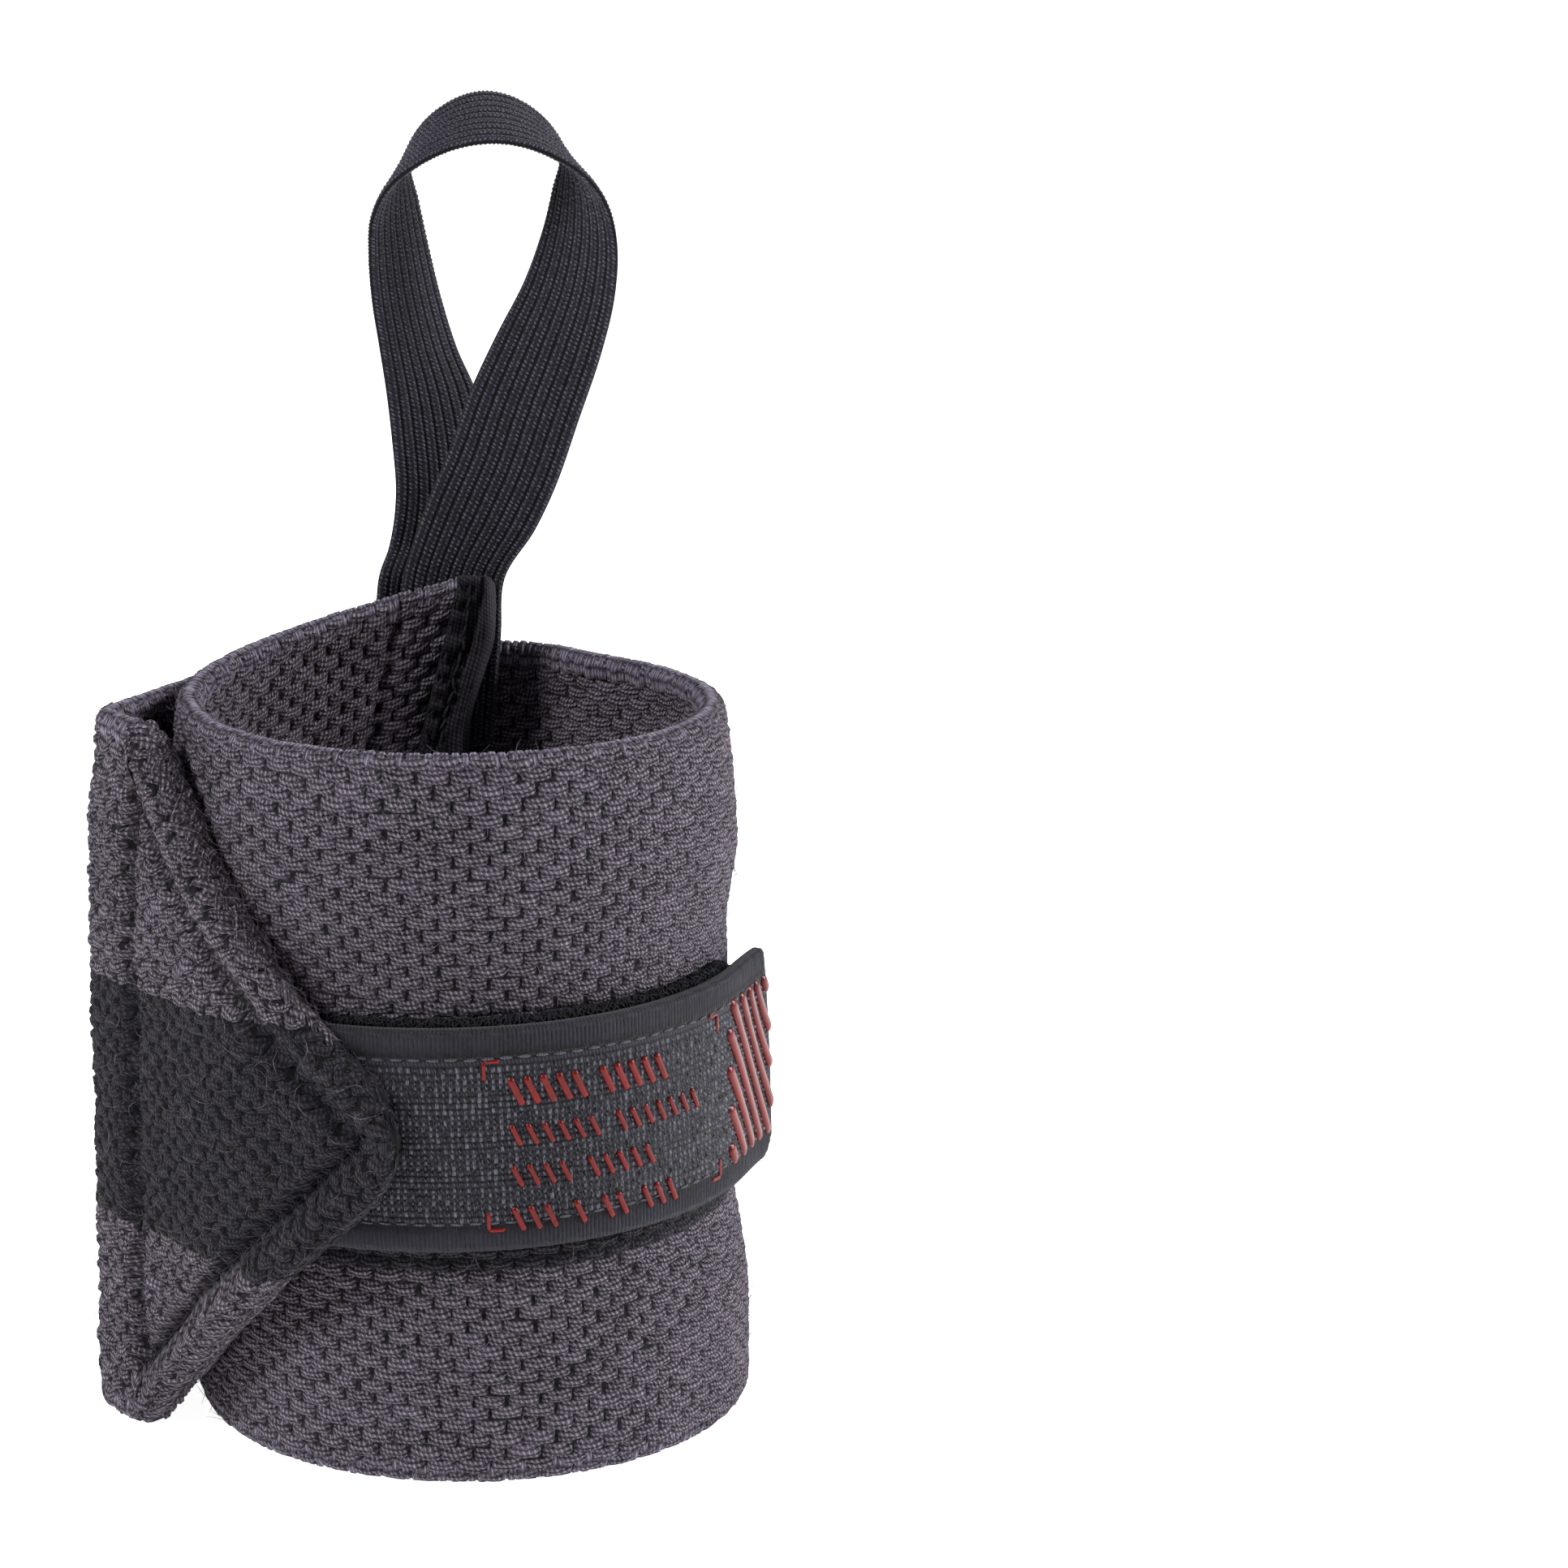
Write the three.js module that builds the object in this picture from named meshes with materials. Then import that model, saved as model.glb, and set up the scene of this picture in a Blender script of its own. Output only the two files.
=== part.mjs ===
// Wrist wrap, wound into an open tube that stands on its lower edge.
// Millimetres and degrees, +Z up. Plan angles run counterclockwise from +X, so the front is at 270.
import * as THREE from "three";

// The elastic band.
const BAND_WIDTH = 80;
const BAND_THICKNESS = 2.3;
const CLEARANCE = 0.3;
const TUBE_RADIUS = 29.15;
const INNER_END_RADIUS = 27.2;
const INNER_END_ANGLE = 86;
const INNER_END_TAPER = 115;
const RISE = 8.4;
const RISE_START = 92;
const RISE_SPAN = 165;
const RISE_POWER = 2.6;
const LEAN = 2.3;
const FREE_TUCK = 1.3;
const WAIST_DEPTH = 0.8;
const STEP_ANGLE = 5;

// How far the tube's wall bulges outwards at each height, as height and distance.
const TUBE_PROFILE = [
  [0, 0.9],
  [12, 1.1],
  [25, 0],
  [55, 0],
  [64, 0.9],
  [73, 0.5],
  [80, -0.3],
  [90, -0.3],
];

// The second layer lies over the thumb loop's ends at the back, then leaves the tube.
const OVERLAP_START = 415;
const OVERLAP_FULL = 440;
const OVERLAP_RADIUS = 32.3;
const OVERLAP_FALL = 480;
const LEAVE_ANGLE = 514;
const LEAVE_RADIUS = 31.2;

// The bend at the left and the folded point in front.
const BEND_CORNER = [-38.8, -8.6];
const BEND_RADIUS = 3.6;
const BEND_STEPS = 7;
const POINT_LENGTH = 38;
const POINT_HEIGHT = 39.5;
const POINT_ROUNDING = 10;
const POINT_STEPS = [22, 19, 16, 14.5, 13, 11, 9, 7, 5, 3.6, 2.5, 1.6, 0.9, 0.35, 0];
const TIP_FLAT = 0.01;
const POINT_RADIUS = 34.6;
const POINT_ANGLE = 263.1;
const FLAP_THICKNESS = 2;
const FLAP_START = 13;
const FLAP_RAMP = 3;

// The binding over the inner end.
const BINDING_WALL = 1;
const BINDING_INSIDE = 5.5;
const BINDING_OUTSIDE = 0.5;
const BINDING_OVER = 0.8;

// The thumb loop's ribbon.
const RIBBON_THICKNESS = 0.9;
const RIBBON_WIDTH = 12;
const RIBBON_SEWN = 20;
const RIBBON_SEWN_ANGLE = 87.9;
const RIBBON_SLANT = 4;

// The closure tab: a label on a hook strip.
const TAB_START = 247;
const TAB_PEEL = 340;
const TAB_PEEL_LIFT = 0.04;
const LABEL_WIDTH = 24.8;
const LABEL_THICKNESS = 1.5;
const LABEL_END = 25.8;
const LABEL_DROP = 0.7;
const HOOK_WIDTH = 26.6;
const HOOK_THICKNESS = 1.5;
const HOOK_END = 31;
const HOOK_CHAMFER = 5;
const TAB_MIDDLE = 39.6;
const TAB_RISE = 1.2;

// Levels over a strip's width, as a distance from the nearer edge or as a share of the width.
const EDGE_LEVELS = [[0, 0.42], [0.3, 0.78], [1.1, 1]];
const BAND_SHARES = [0.12, 0.24, 0.34, 0.5, 0.66, 0.76, 0.88];
const TAB_SHARES = [0.5];

// Edges of the ribbon from the left base over the top to the right base: the near edge's
// x, y, z and the far edge's x, y, z.
const RIBBON_STATIONS = [
  [-9.9, 30.2, 91.5, 1.9, 32.0, 91.3],
  [-9.2, 30.0, 95.0, 2.4, 33.0, 94.6],
  [-8.9, 29.5, 98.9, 2.3, 33.9, 98.5],
  [-9.2, 28.9, 104.2, 1.6, 34.4, 104.1],
  [-9.7, 27.9, 110.1, 0.1, 34.9, 109.6],
  [-10.3, 26.4, 115.6, -2.1, 35.2, 114.5],
  [-11.0, 25.4, 121.2, -3.9, 35.2, 120.2],
  [-11.2, 24.5, 126.4, -5.3, 35.1, 125.9],
  [-10.8, 23.7, 130.6, -6.6, 34.9, 131.9],
  [-9.0, 23.3, 134.0, -7.6, 34.9, 136.4],
  [-5.7, 23.3, 136.7, -5.7, 34.7, 140.6],
  [-1.7, 23.5, 138.6, -1.8, 34.4, 143.6],
  [2.4, 23.5, 139.4, 1.6, 34.5, 144.4],
  [6.1, 23.4, 139.2, 5.3, 34.6, 143.4],
  [10.1, 23.2, 137.9, 8.7, 34.7, 140.6],
  [13.8, 23.2, 135.6, 10.2, 34.5, 137.2],
  [16.1, 23.8, 132.4, 9.4, 33.6, 133.8],
  [17.1, 24.8, 128.1, 8.2, 32.5, 128.9],
  [16.8, 26.5, 121.9, 6.1, 30.9, 123.0],
  [15.2, 27.9, 115.0, 3.0, 29.5, 117.0],
  [12.6, 28.6, 107.2, 0.0, 29.0, 110.6],
  [9.2, 28.9, 99.6, -2.9, 28.9, 103.4],
  [5.8, 28.9, 94.0, -5.9, 28.9, 97.2],
];
const RIBBON_STEPS = 56;
const RIBBON_ACROSS = 4;

const COLOURS = {
  knit: 0x5d5660,
  binding: 0x17161a,
  elastic: 0x201e25,
  hook: 0x151418,
  webbing: 0x2b2b30,
};

const radians = (degrees) => (degrees * Math.PI) / 180;
const mix = (a, b, share) => a + (b - a) * share;
const clamp = (value) => Math.min(1, Math.max(0, value));

/** An even ramp from 0 at `from` to 1 at `to`. */
function ease(from, to, value) {
  const share = clamp((value - from) / (to - from));
  return share * share * (3 - 2 * share);
}

/** How far the tube's plan is shifted along X at a height. */
function leanAt(z) {
  return LEAN * (1 - z / BAND_WIDTH);
}

/** How far the layer that has left the tube is shifted along X at a height. */
function freeLeanAt(z) {
  return FREE_TUCK * ease(BAND_WIDTH - 16, BAND_WIDTH, z);
}

/** The radius of the band's mid surface at a plan angle. */
function windRadius(angle) {
  const inner = mix(INNER_END_RADIUS, TUBE_RADIUS, ease(INNER_END_TAPER, INNER_END_TAPER + 80, angle));
  const over = (OVERLAP_RADIUS - TUBE_RADIUS) * ease(OVERLAP_START, OVERLAP_FULL, angle);
  const fall = (LEAVE_RADIUS - OVERLAP_RADIUS) * ease(OVERLAP_FALL, LEAVE_ANGLE, angle);
  return inner + over + fall;
}

/** How far the tube's wall bulges at a height. */
function bulgeAt(z) {
  const above = TUBE_PROFILE.findIndex((row) => row[0] >= z);
  const i = above < 0 ? TUBE_PROFILE.length - 1 : Math.max(1, above);
  const [low, from] = TUBE_PROFILE[i - 1];
  const [high, to] = TUBE_PROFILE[i];
  return mix(from, to, clamp((z - low) / (high - low)));
}

/** How far the band is raised at a plan angle, most at its inner end. */
function riseAt(angle) {
  const share = clamp((angle - RISE_START) / RISE_SPAN);
  return RISE * Math.pow(1 - share, RISE_POWER);
}

/** How far the tab draws the band inwards at a plan angle and height. */
function waistAt(angle, z) {
  const half = HOOK_WIDTH / 2 + 1;
  const off = Math.abs(z - TAB_MIDDLE - TAB_RISE / 2);
  const around = ease(225, 243, angle) * (1 - ease(352, 385, angle));
  return WAIST_DEPTH * around * (1 - ease(half, half + 12, off));
}

/** Where the tangent from a point outside meets the circle, on the side that winds onwards. */
function tangentAngle(point, radius) {
  const far = Math.hypot(point[0], point[1]);
  const toward = Math.atan2(point[1], point[0]);
  return toward + Math.acos(radius / far);
}

/** Plan points of the band's mid surface from its inner end to its point. */
function bandPlan() {
  const plan = [];
  for (let angle = INNER_END_ANGLE; angle <= LEAVE_ANGLE + 1e-6; angle += STEP_ANGLE) {
    const a = radians(angle);
    const r = windRadius(angle);
    plan.push({ x: r * Math.cos(a), y: r * Math.sin(a), angle, free: 0 });
  }
  const last = plan[plan.length - 1];
  const landing = tangentAngle(BEND_CORNER, POINT_RADIUS);
  const landed = new THREE.Vector2(POINT_RADIUS * Math.cos(landing), POINT_RADIUS * Math.sin(landing));
  const corner = new THREE.Vector2(...BEND_CORNER);
  const into = corner.clone().sub(new THREE.Vector2(last.x, last.y)).normalize();
  const away = landed.clone().sub(corner).normalize();
  const turn = Math.acos(into.dot(away));
  const reach = BEND_RADIUS * Math.tan(turn / 2);
  const start = corner.clone().addScaledVector(into, -reach);
  const end = corner.clone().addScaledVector(away, reach);
  for (const free of [0.25, 0.5, 0.75]) {
    plan.push({ x: mix(last.x, start.x, free), y: mix(last.y, start.y, free), angle: last.angle, free });
  }
  const centre = start.clone().add(new THREE.Vector2(-into.y, into.x).multiplyScalar(BEND_RADIUS));
  const first = Math.atan2(start.y - centre.y, start.x - centre.x);
  for (let i = 0; i <= BEND_STEPS; i += 1) {
    const a = first + (turn * i) / BEND_STEPS;
    plan.push({
      x: centre.x + BEND_RADIUS * Math.cos(a),
      y: centre.y + BEND_RADIUS * Math.sin(a),
      angle: last.angle,
      free: 1,
    });
  }
  for (const share of [0.12, 0.3, 0.5, 0.75]) {
    plan.push({ x: mix(end.x, landed.x, share), y: mix(end.y, landed.y, share), angle: last.angle, free: 1 });
  }
  const onTube = (radians(POINT_ANGLE) - landing - 2 * Math.PI) * POINT_RADIUS;
  for (const left of [onTube, ...POINT_STEPS.filter((step) => step < onTube - 1)]) {
    const a = radians(POINT_ANGLE) - left / POINT_RADIUS;
    const free = ease(0, 26, left);
    plan.push({ x: POINT_RADIUS * Math.cos(a), y: POINT_RADIUS * Math.sin(a), angle: last.angle, free });
  }
  return withNormals(plan);
}

/** Adds each plan point's outward normal, its distance from the start and the length left. */
function withNormals(plan) {
  let length = 0;
  plan.forEach((point, i) => {
    const before = plan[Math.max(0, i - 1)];
    const after = plan[Math.min(plan.length - 1, i + 1)];
    const dx = after.x - before.x;
    const dy = after.y - before.y;
    const size = Math.hypot(dx, dy);
    point.nx = dy / size;
    point.ny = -dx / size;
    length += i ? Math.hypot(point.x - before.x, point.y - before.y) : 0;
    point.at = length;
  });
  for (const point of plan) {
    point.left = length - point.at;
  }
  return plan;
}

/** Heights over a strip from its lower to its upper edge, each with its share of the thickness. */
function levels(low, high, shares) {
  const room = Math.min(1, (high - low) / (3 * EDGE_LEVELS[EDGE_LEVELS.length - 1][0]));
  const lower = EDGE_LEVELS.map(([inset, share]) => [low + inset * room, share]);
  const upper = EDGE_LEVELS.map(([inset, share]) => [high - inset * room, share]).reverse();
  const edge = EDGE_LEVELS[EDGE_LEVELS.length - 1][0] * room;
  const middle = shares.map((share) => {
    const z = mix(low, high, share);
    return [Math.min(high - edge - 1e-3, Math.max(low + edge + 1e-3, z)), 1];
  });
  return [...lower, ...middle, ...upper];
}

/** A ring of points round a strip's section: up its outer face and down its inner face. */
function stripRing(point, rows, inward, outward, shift) {
  const place = ([z, share], side) => {
    const middle = (outward(z) - inward(z)) / 2;
    const half = (outward(z) + inward(z)) / 2;
    const off = middle + side * half * share;
    return [point.x + point.nx * off + shift(z), point.y + point.ny * off, z];
  };
  const outer = rows.map((row) => place(row, 1));
  const inner = rows.map((row) => place(row, -1)).reverse();
  return [...outer, ...inner];
}

/** A closed solid through rings that all have the same number of points. */
function loft(rings) {
  const count = rings[0].length;
  const index = [];
  for (let i = 0; i + 1 < rings.length; i += 1) {
    for (let j = 0; j < count; j += 1) {
      const a = i * count + j;
      const b = i * count + ((j + 1) % count);
      index.push(a, a + count, b + count, a, b + count, b);
    }
  }
  const cap = (base, flip) => {
    for (let j = 0; j + 1 < count / 2; j += 1) {
      const quad = [base + j, base + j + 1, base + count - 2 - j, base + count - 1 - j];
      const faces = [quad[0], quad[1], quad[2], quad[0], quad[2], quad[3]];
      index.push(...(flip ? faces.reverse() : faces));
    }
  };
  cap(0, false);
  cap((rings.length - 1) * count, true);
  const geometry = new THREE.BufferGeometry();
  geometry.setAttribute("position", new THREE.Float32BufferAttribute(rings.flat(2), 3));
  geometry.setIndex(index);
  return outwards(geometry);
}

/** Turns a closed solid's faces outwards if they point inwards. */
function outwards(geometry) {
  const position = geometry.getAttribute("position");
  const index = geometry.getIndex().array;
  const corners = [new THREE.Vector3(), new THREE.Vector3(), new THREE.Vector3()];
  let volume = 0;
  for (let i = 0; i < index.length; i += 3) {
    corners.forEach((corner, k) => corner.fromBufferAttribute(position, index[i + k]));
    volume += corners[0].dot(corners[1].cross(corners[2]));
  }
  if (volume < 0) {
    geometry.setIndex(Array.from(index).reverse());
  }
  geometry.computeVertexNormals();
  return geometry;
}

/** The lower and upper edge of the band at a distance from its point. */
function pointEdges(left) {
  const far = left + TIP_FLAT;
  const rounded = far < POINT_ROUNDING * (1 - Math.SQRT1_2);
  const half = rounded
    ? Math.sqrt(2 * POINT_ROUNDING * far - far * far)
    : far + POINT_ROUNDING * (Math.SQRT2 - 1);
  return [Math.max(0, POINT_HEIGHT - half), Math.min(BAND_WIDTH, POINT_HEIGHT + half)];
}

/** The thickness that the folded-in corners add at a distance from the point. */
function flapAt(left) {
  const tucked = ease(FLAP_START, FLAP_START + FLAP_RAMP, left);
  return FLAP_THICKNESS * tucked * (1 - ease(POINT_LENGTH - FLAP_RAMP, POINT_LENGTH, left));
}

/** The wound band with its folded point. */
function elasticBand() {
  const half = BAND_THICKNESS / 2;
  const rings = bandPlan().map((point) => {
    const past = point.at > POINT_LENGTH;
    const [low, high] = past ? pointEdges(point.left) : [0, BAND_WIDTH];
    const rise = riseAt(point.angle);
    const flap = past ? flapAt(point.left) : 0;
    const loose = ease(INNER_END_TAPER, INNER_END_TAPER + 40, point.angle) * (1 - point.free);
    const outwards = (z) => bulgeAt(z) * loose - waistAt(point.angle, z);
    const inward = (z) => half + flap - outwards(z);
    const outward = (z) => half + outwards(z);
    const shift = (z) => mix(leanAt(z), freeLeanAt(z), point.free);
    return stripRing(point, levels(low + rise, high + rise, BAND_SHARES), inward, outward, shift);
  });
  return loft(rings);
}

/** The tape folded over the band's inner end, with a long side inside and a short one outside. */
function endBinding() {
  const inside = INNER_END_RADIUS - BAND_THICKNESS / 2 - CLEARANCE;
  const outside = INNER_END_RADIUS + BAND_THICKNESS / 2 + CLEARANCE;
  const low = RISE - BINDING_OVER;
  const high = RISE + BAND_WIDTH + BINDING_OVER;
  const edge = INNER_END_ANGLE - THREE.MathUtils.radToDeg(CLEARANCE / INNER_END_RADIUS);
  const turned = (length, radius) => THREE.MathUtils.radToDeg(length / radius);
  const outline = [];
  const arc = (radius, from, to, steps) => {
    for (let i = 0; i <= steps; i += 1) {
      outline.push([radius, mix(from, to, i / steps)]);
    }
  };
  const insideEnd = edge + turned(BINDING_INSIDE, inside);
  const outsideEnd = edge + turned(BINDING_OUTSIDE, outside);
  const outer = edge - turned(BINDING_WALL, INNER_END_RADIUS);
  arc(inside, insideEnd, edge, 4);
  arc(outside, edge, outsideEnd, 1);
  arc(outside + BINDING_WALL, outsideEnd, outer + turned(0.5, outside), 2);
  outline.push([outside + BINDING_WALL * 0.5, outer]);
  outline.push([inside - BINDING_WALL * 0.5, outer]);
  arc(inside - BINDING_WALL, outer + turned(0.5, inside), insideEnd, 5);
  const plan = outline.map(([radius, angle]) => {
    const a = radians(angle);
    return new THREE.Vector2(radius * Math.cos(a), radius * Math.sin(a));
  });
  const geometry = new THREE.ExtrudeGeometry(new THREE.Shape(plan), {
    depth: high - low,
    bevelEnabled: false,
    steps: 1,
  });
  geometry.translate(0, 0, low);
  const position = geometry.getAttribute("position");
  for (let i = 0; i < position.count; i += 1) {
    position.setX(i, position.getX(i) + leanAt(position.getZ(i)));
  }
  geometry.computeVertexNormals();
  return geometry;
}

/** Edge points of the ribbon's sewn length on the band's outer face, from its end upwards. */
function sewnStations(radius, flip) {
  const top = RISE + BAND_WIDTH;
  const turned = THREE.MathUtils.radToDeg(RIBBON_WIDTH / radius);
  return [0, 0.34, 0.67, 1].map((share) => {
    const z = top - RIBBON_SEWN * (1 - share);
    const start = RIBBON_SEWN_ANGLE + RIBBON_SLANT * (1 - share);
    const edges = [start + turned, start].map((angle) => {
      const a = radians(angle);
      return new THREE.Vector3(radius * Math.cos(a) + leanAt(z), radius * Math.sin(a), z);
    });
    return { near: edges[flip ? 1 : 0], far: edges[flip ? 0 : 1], curved: 1 };
  });
}

/** The ribbon from its left end over the top to its right end. */
function thumbLoop() {
  const face = INNER_END_RADIUS + BAND_THICKNESS / 2 + CLEARANCE;
  const under = face + RIBBON_THICKNESS / 2;
  const over = under + RIBBON_THICKNESS + CLEARANCE;
  const stations = [
    ...sewnStations(over, false),
    ...RIBBON_STATIONS.map((row) => ({
      near: new THREE.Vector3(row[0], row[1], row[2]),
      far: new THREE.Vector3(row[3], row[4], row[5]),
      curved: 0,
    })),
    ...sewnStations(under, true).reverse(),
  ];
  const nearLine = new THREE.CatmullRomCurve3(stations.map((s) => s.near), false, "centripetal");
  const farLine = new THREE.CatmullRomCurve3(stations.map((s) => s.far), false, "centripetal");
  const at = (share) => {
    const t = share * (stations.length - 1);
    const i = Math.min(stations.length - 2, Math.floor(t));
    return mix(stations[i].curved, stations[i + 1].curved, t - i);
  };
  const rings = [];
  for (let i = 0; i <= RIBBON_STEPS; i += 1) {
    const share = i / RIBBON_STEPS;
    rings.push(ribbonRing(nearLine, farLine, share, at(share)));
  }
  return loft(rings);
}

/** A ring round the ribbon's section, bowed like the band where it is sewn on. */
function ribbonRing(nearLine, farLine, share, curved) {
  const near = nearLine.getPoint(share);
  const far = farLine.getPoint(share);
  const along = nearLine.getTangent(share).add(farLine.getTangent(share)).normalize();
  const across = far.clone().sub(near);
  const width = across.length();
  const normal = along.clone().cross(across).normalize();
  const bow = curved * (width * width) / (8 * INNER_END_RADIUS);
  const side = Math.sign(normal.y) || 1;
  const ring = (half) => {
    const points = [];
    for (let j = 0; j <= RIBBON_ACROSS; j += 1) {
      const t = j / RIBBON_ACROSS;
      const thin = j === 0 || j === RIBBON_ACROSS ? 0.6 : 1;
      const lift = 4 * t * (1 - t) * bow * side;
      const point = near.clone().addScaledVector(across, t).addScaledVector(normal, lift + half * thin);
      points.push(point.toArray());
    }
    return points;
  };
  return [...ring(RIBBON_THICKNESS / 2), ...ring(-RIBBON_THICKNESS / 2).reverse()];
}

/** Plan points of the tab at a radius, ending a length past where it peels off the tube. */
function tabPlan(radius, past) {
  const plan = [];
  const steps = 20;
  for (let i = 0; i <= steps; i += 1) {
    const angle = mix(TAB_START, TAB_PEEL, i / steps);
    plan.push({ x: radius * Math.cos(radians(angle)), y: radius * Math.sin(radians(angle)) });
  }
  const peel = radians(TAB_PEEL);
  const free = past - radius * radians(TAB_PEEL - 315);
  const parts = 8;
  let x = plan[steps].x;
  let y = plan[steps].y;
  let heading = peel + Math.PI / 2;
  for (let i = 1; i <= parts; i += 1) {
    heading += (free / parts / radius) * (1 - i / parts) * 0.8 - TAB_PEEL_LIFT * (i / parts);
    x += (free / parts) * Math.cos(heading);
    y += (free / parts) * Math.sin(heading);
    plan.push({ x, y });
  }
  return withNormals(plan);
}

/** A strip of the tab as a solid, with its end's corners cut off by a chamfer. */
function tabStrip(face, thickness, width, drop, past, chamfer) {
  const rings = tabPlan(face + thickness / 2, past).map((point) => {
    const around = THREE.MathUtils.radToDeg(Math.atan2(point.y, point.x)) + 360;
    const middle = TAB_MIDDLE - drop + TAB_RISE * clamp((around - TAB_START) / 100);
    const cut = Math.max(0, chamfer - point.left);
    const low = middle - width / 2 + cut;
    const high = middle + width / 2 - cut;
    const half = () => thickness / 2;
    return stripRing(point, levels(low, high, TAB_SHARES), half, half, leanAt);
  });
  return loft(rings);
}

/** A named mesh with its material. */
function piece(name, geometry, material, colour, roughness) {
  const mesh = new THREE.Mesh(
    geometry,
    new THREE.MeshStandardMaterial({ name: material, color: colour, roughness, metalness: 0 }),
  );
  mesh.name = name;
  return mesh;
}

/** The whole wrap, with its box centred over the origin and its foot at height 0. */
function wristWrap() {
  const tube = TUBE_RADIUS + BAND_THICKNESS / 2 - WAIST_DEPTH;
  const hookFace = tube + CLEARANCE;
  const labelFace = hookFace + HOOK_THICKNESS + CLEARANCE;
  const group = new THREE.Group();
  group.name = "wrist_wrap";
  group.add(
    piece("elastic_band", elasticBand(), "knit", COLOURS.knit, 0.95),
    piece("end_binding", endBinding(), "binding", COLOURS.binding, 0.7),
    piece("thumb_loop", thumbLoop(), "elastic", COLOURS.elastic, 0.85),
    piece(
      "hook_strip",
      tabStrip(hookFace, HOOK_THICKNESS, HOOK_WIDTH, 0, HOOK_END, HOOK_CHAMFER),
      "hook",
      COLOURS.hook,
      0.9,
    ),
    piece(
      "closure_tab",
      tabStrip(labelFace, LABEL_THICKNESS, LABEL_WIDTH, LABEL_DROP, LABEL_END, 0),
      "webbing",
      COLOURS.webbing,
      0.75,
    ),
  );
  const box = new THREE.Box3().setFromObject(group);
  const centre = box.getCenter(new THREE.Vector3());
  for (const mesh of group.children) {
    mesh.geometry.translate(-centre.x, -centre.y, -box.min.z);
  }
  return group;
}

export default wristWrap();
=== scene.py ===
"""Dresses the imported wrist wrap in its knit, ribbon, webbing and raised print."""

import logging
import math
from collections.abc import Callable
from dataclasses import dataclass, field
from enum import Enum

import bpy
import numpy as np
from mathutils import Matrix, Vector


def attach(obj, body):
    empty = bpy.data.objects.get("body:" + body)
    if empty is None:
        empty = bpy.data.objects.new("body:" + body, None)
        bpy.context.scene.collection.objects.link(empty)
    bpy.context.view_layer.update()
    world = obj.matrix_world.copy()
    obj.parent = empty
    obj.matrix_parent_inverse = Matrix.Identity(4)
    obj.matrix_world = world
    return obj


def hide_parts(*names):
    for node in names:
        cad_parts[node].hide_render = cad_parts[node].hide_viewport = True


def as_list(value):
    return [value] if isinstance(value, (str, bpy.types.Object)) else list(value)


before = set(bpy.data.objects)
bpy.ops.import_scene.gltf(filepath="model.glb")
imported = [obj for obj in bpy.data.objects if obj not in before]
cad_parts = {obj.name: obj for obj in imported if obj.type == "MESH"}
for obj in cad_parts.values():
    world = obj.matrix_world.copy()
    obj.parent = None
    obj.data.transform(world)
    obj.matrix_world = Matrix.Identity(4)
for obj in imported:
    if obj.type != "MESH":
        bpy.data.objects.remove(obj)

LOG = logging.getLogger("wrist_wrap")
Array = np.ndarray
Wrap = Callable[[Array], Array]
Shape = tuple[Array, Array, Array]
Colour = tuple[float, float, float]
Piece = bpy.types.Object
Socket = bpy.types.NodeSocket
Value = Socket | float
Inputs = dict[str | int, Socket | float | str | Colour]

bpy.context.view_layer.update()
MM = 0.001
# Every length from here on is in millimetres and counts from the tube's axis.
# The shift takes points from there to the middle of the object's box.
AXIS_SHIFT = np.array([1.4557, 0.0494, 0.0])
BAND_WIDTH = 80.0
BAND_HALF = 1.15
TUBE_RADIUS = 29.15
TAPE_RADIUS = 27.2
TUBE_LEAN = 2.3
TAB_HEIGHT = 39.6
TAB_PULL = 0.8
TAB_LAYER = 1.5
LAYER_GAP = 0.3
END_SLANT = 3.6
DIAGONAL = math.sqrt(0.5)


class Face(Enum):
    """A side of the wound band."""

    OUTER = 1
    INNER = -1


class Edge(Enum):
    """A long edge of the wound band."""

    TOP = 1
    BOTTOM = -1


def ease(start: float, end: float, value: Array) -> Array:
    """Gives a smooth ramp from 0 to 1.

    Args:
        start: The value where the ramp leaves 0.
        end: The value where the ramp reaches 1.
        value: The values to look up.

    Returns:
        The ramp at each value.
    """
    share = np.clip((np.asarray(value, float) - start) / (end - start), 0, 1)
    return share * share * (3 - 2 * share)


def window(value: Array, rise: float, full: float, fall: float, end: float) -> Array:
    """Gives 1 from full to fall, with smooth ramps from rise and to end."""
    return ease(rise, full, value) * (1 - ease(fall, end, value))


def mix(first: Array, second: Array, share: Array) -> Array:
    """Blends two values by a share.

    Args:
        first: The value at share 0.
        second: The value at share 1.
        share: How far to go.

    Returns:
        The blended value.
    """
    return first + (second - first) * share


def wobble(x: Array, y: Array, seed: int, size: float) -> Array:
    """Gives a smooth, repeatable unevenness over a surface.

    Args:
        x: The first coordinate in millimetres.
        y: The second coordinate in millimetres.
        seed: Picks the waves.
        size: The usual length of a wave in millimetres.

    Returns:
        Values from about -1 to 1.
    """
    rng = np.random.default_rng(seed)
    total = np.zeros(np.broadcast(x, y).shape)
    for _ in range(6):
        turn = rng.uniform(0, 2 * np.pi)
        rate = 2 * np.pi / (size * rng.uniform(0.7, 1.8))
        total = total + np.sin(rate * (np.cos(turn) * x + np.sin(turn) * y) + rng.uniform(0, 6.3))
    return total / 3.5


def polar(radius: Array, angle: Array) -> Array:
    """Gives plan points by their distance from the axis and their angle."""
    return np.stack([radius * np.cos(angle), radius * np.sin(angle)], -1)


def distances(line: Array) -> Array:
    """Gives how far along a line each of its points is."""
    return np.concatenate([[0], np.cumsum(np.linalg.norm(np.diff(line, axis=0), axis=1))])


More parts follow.
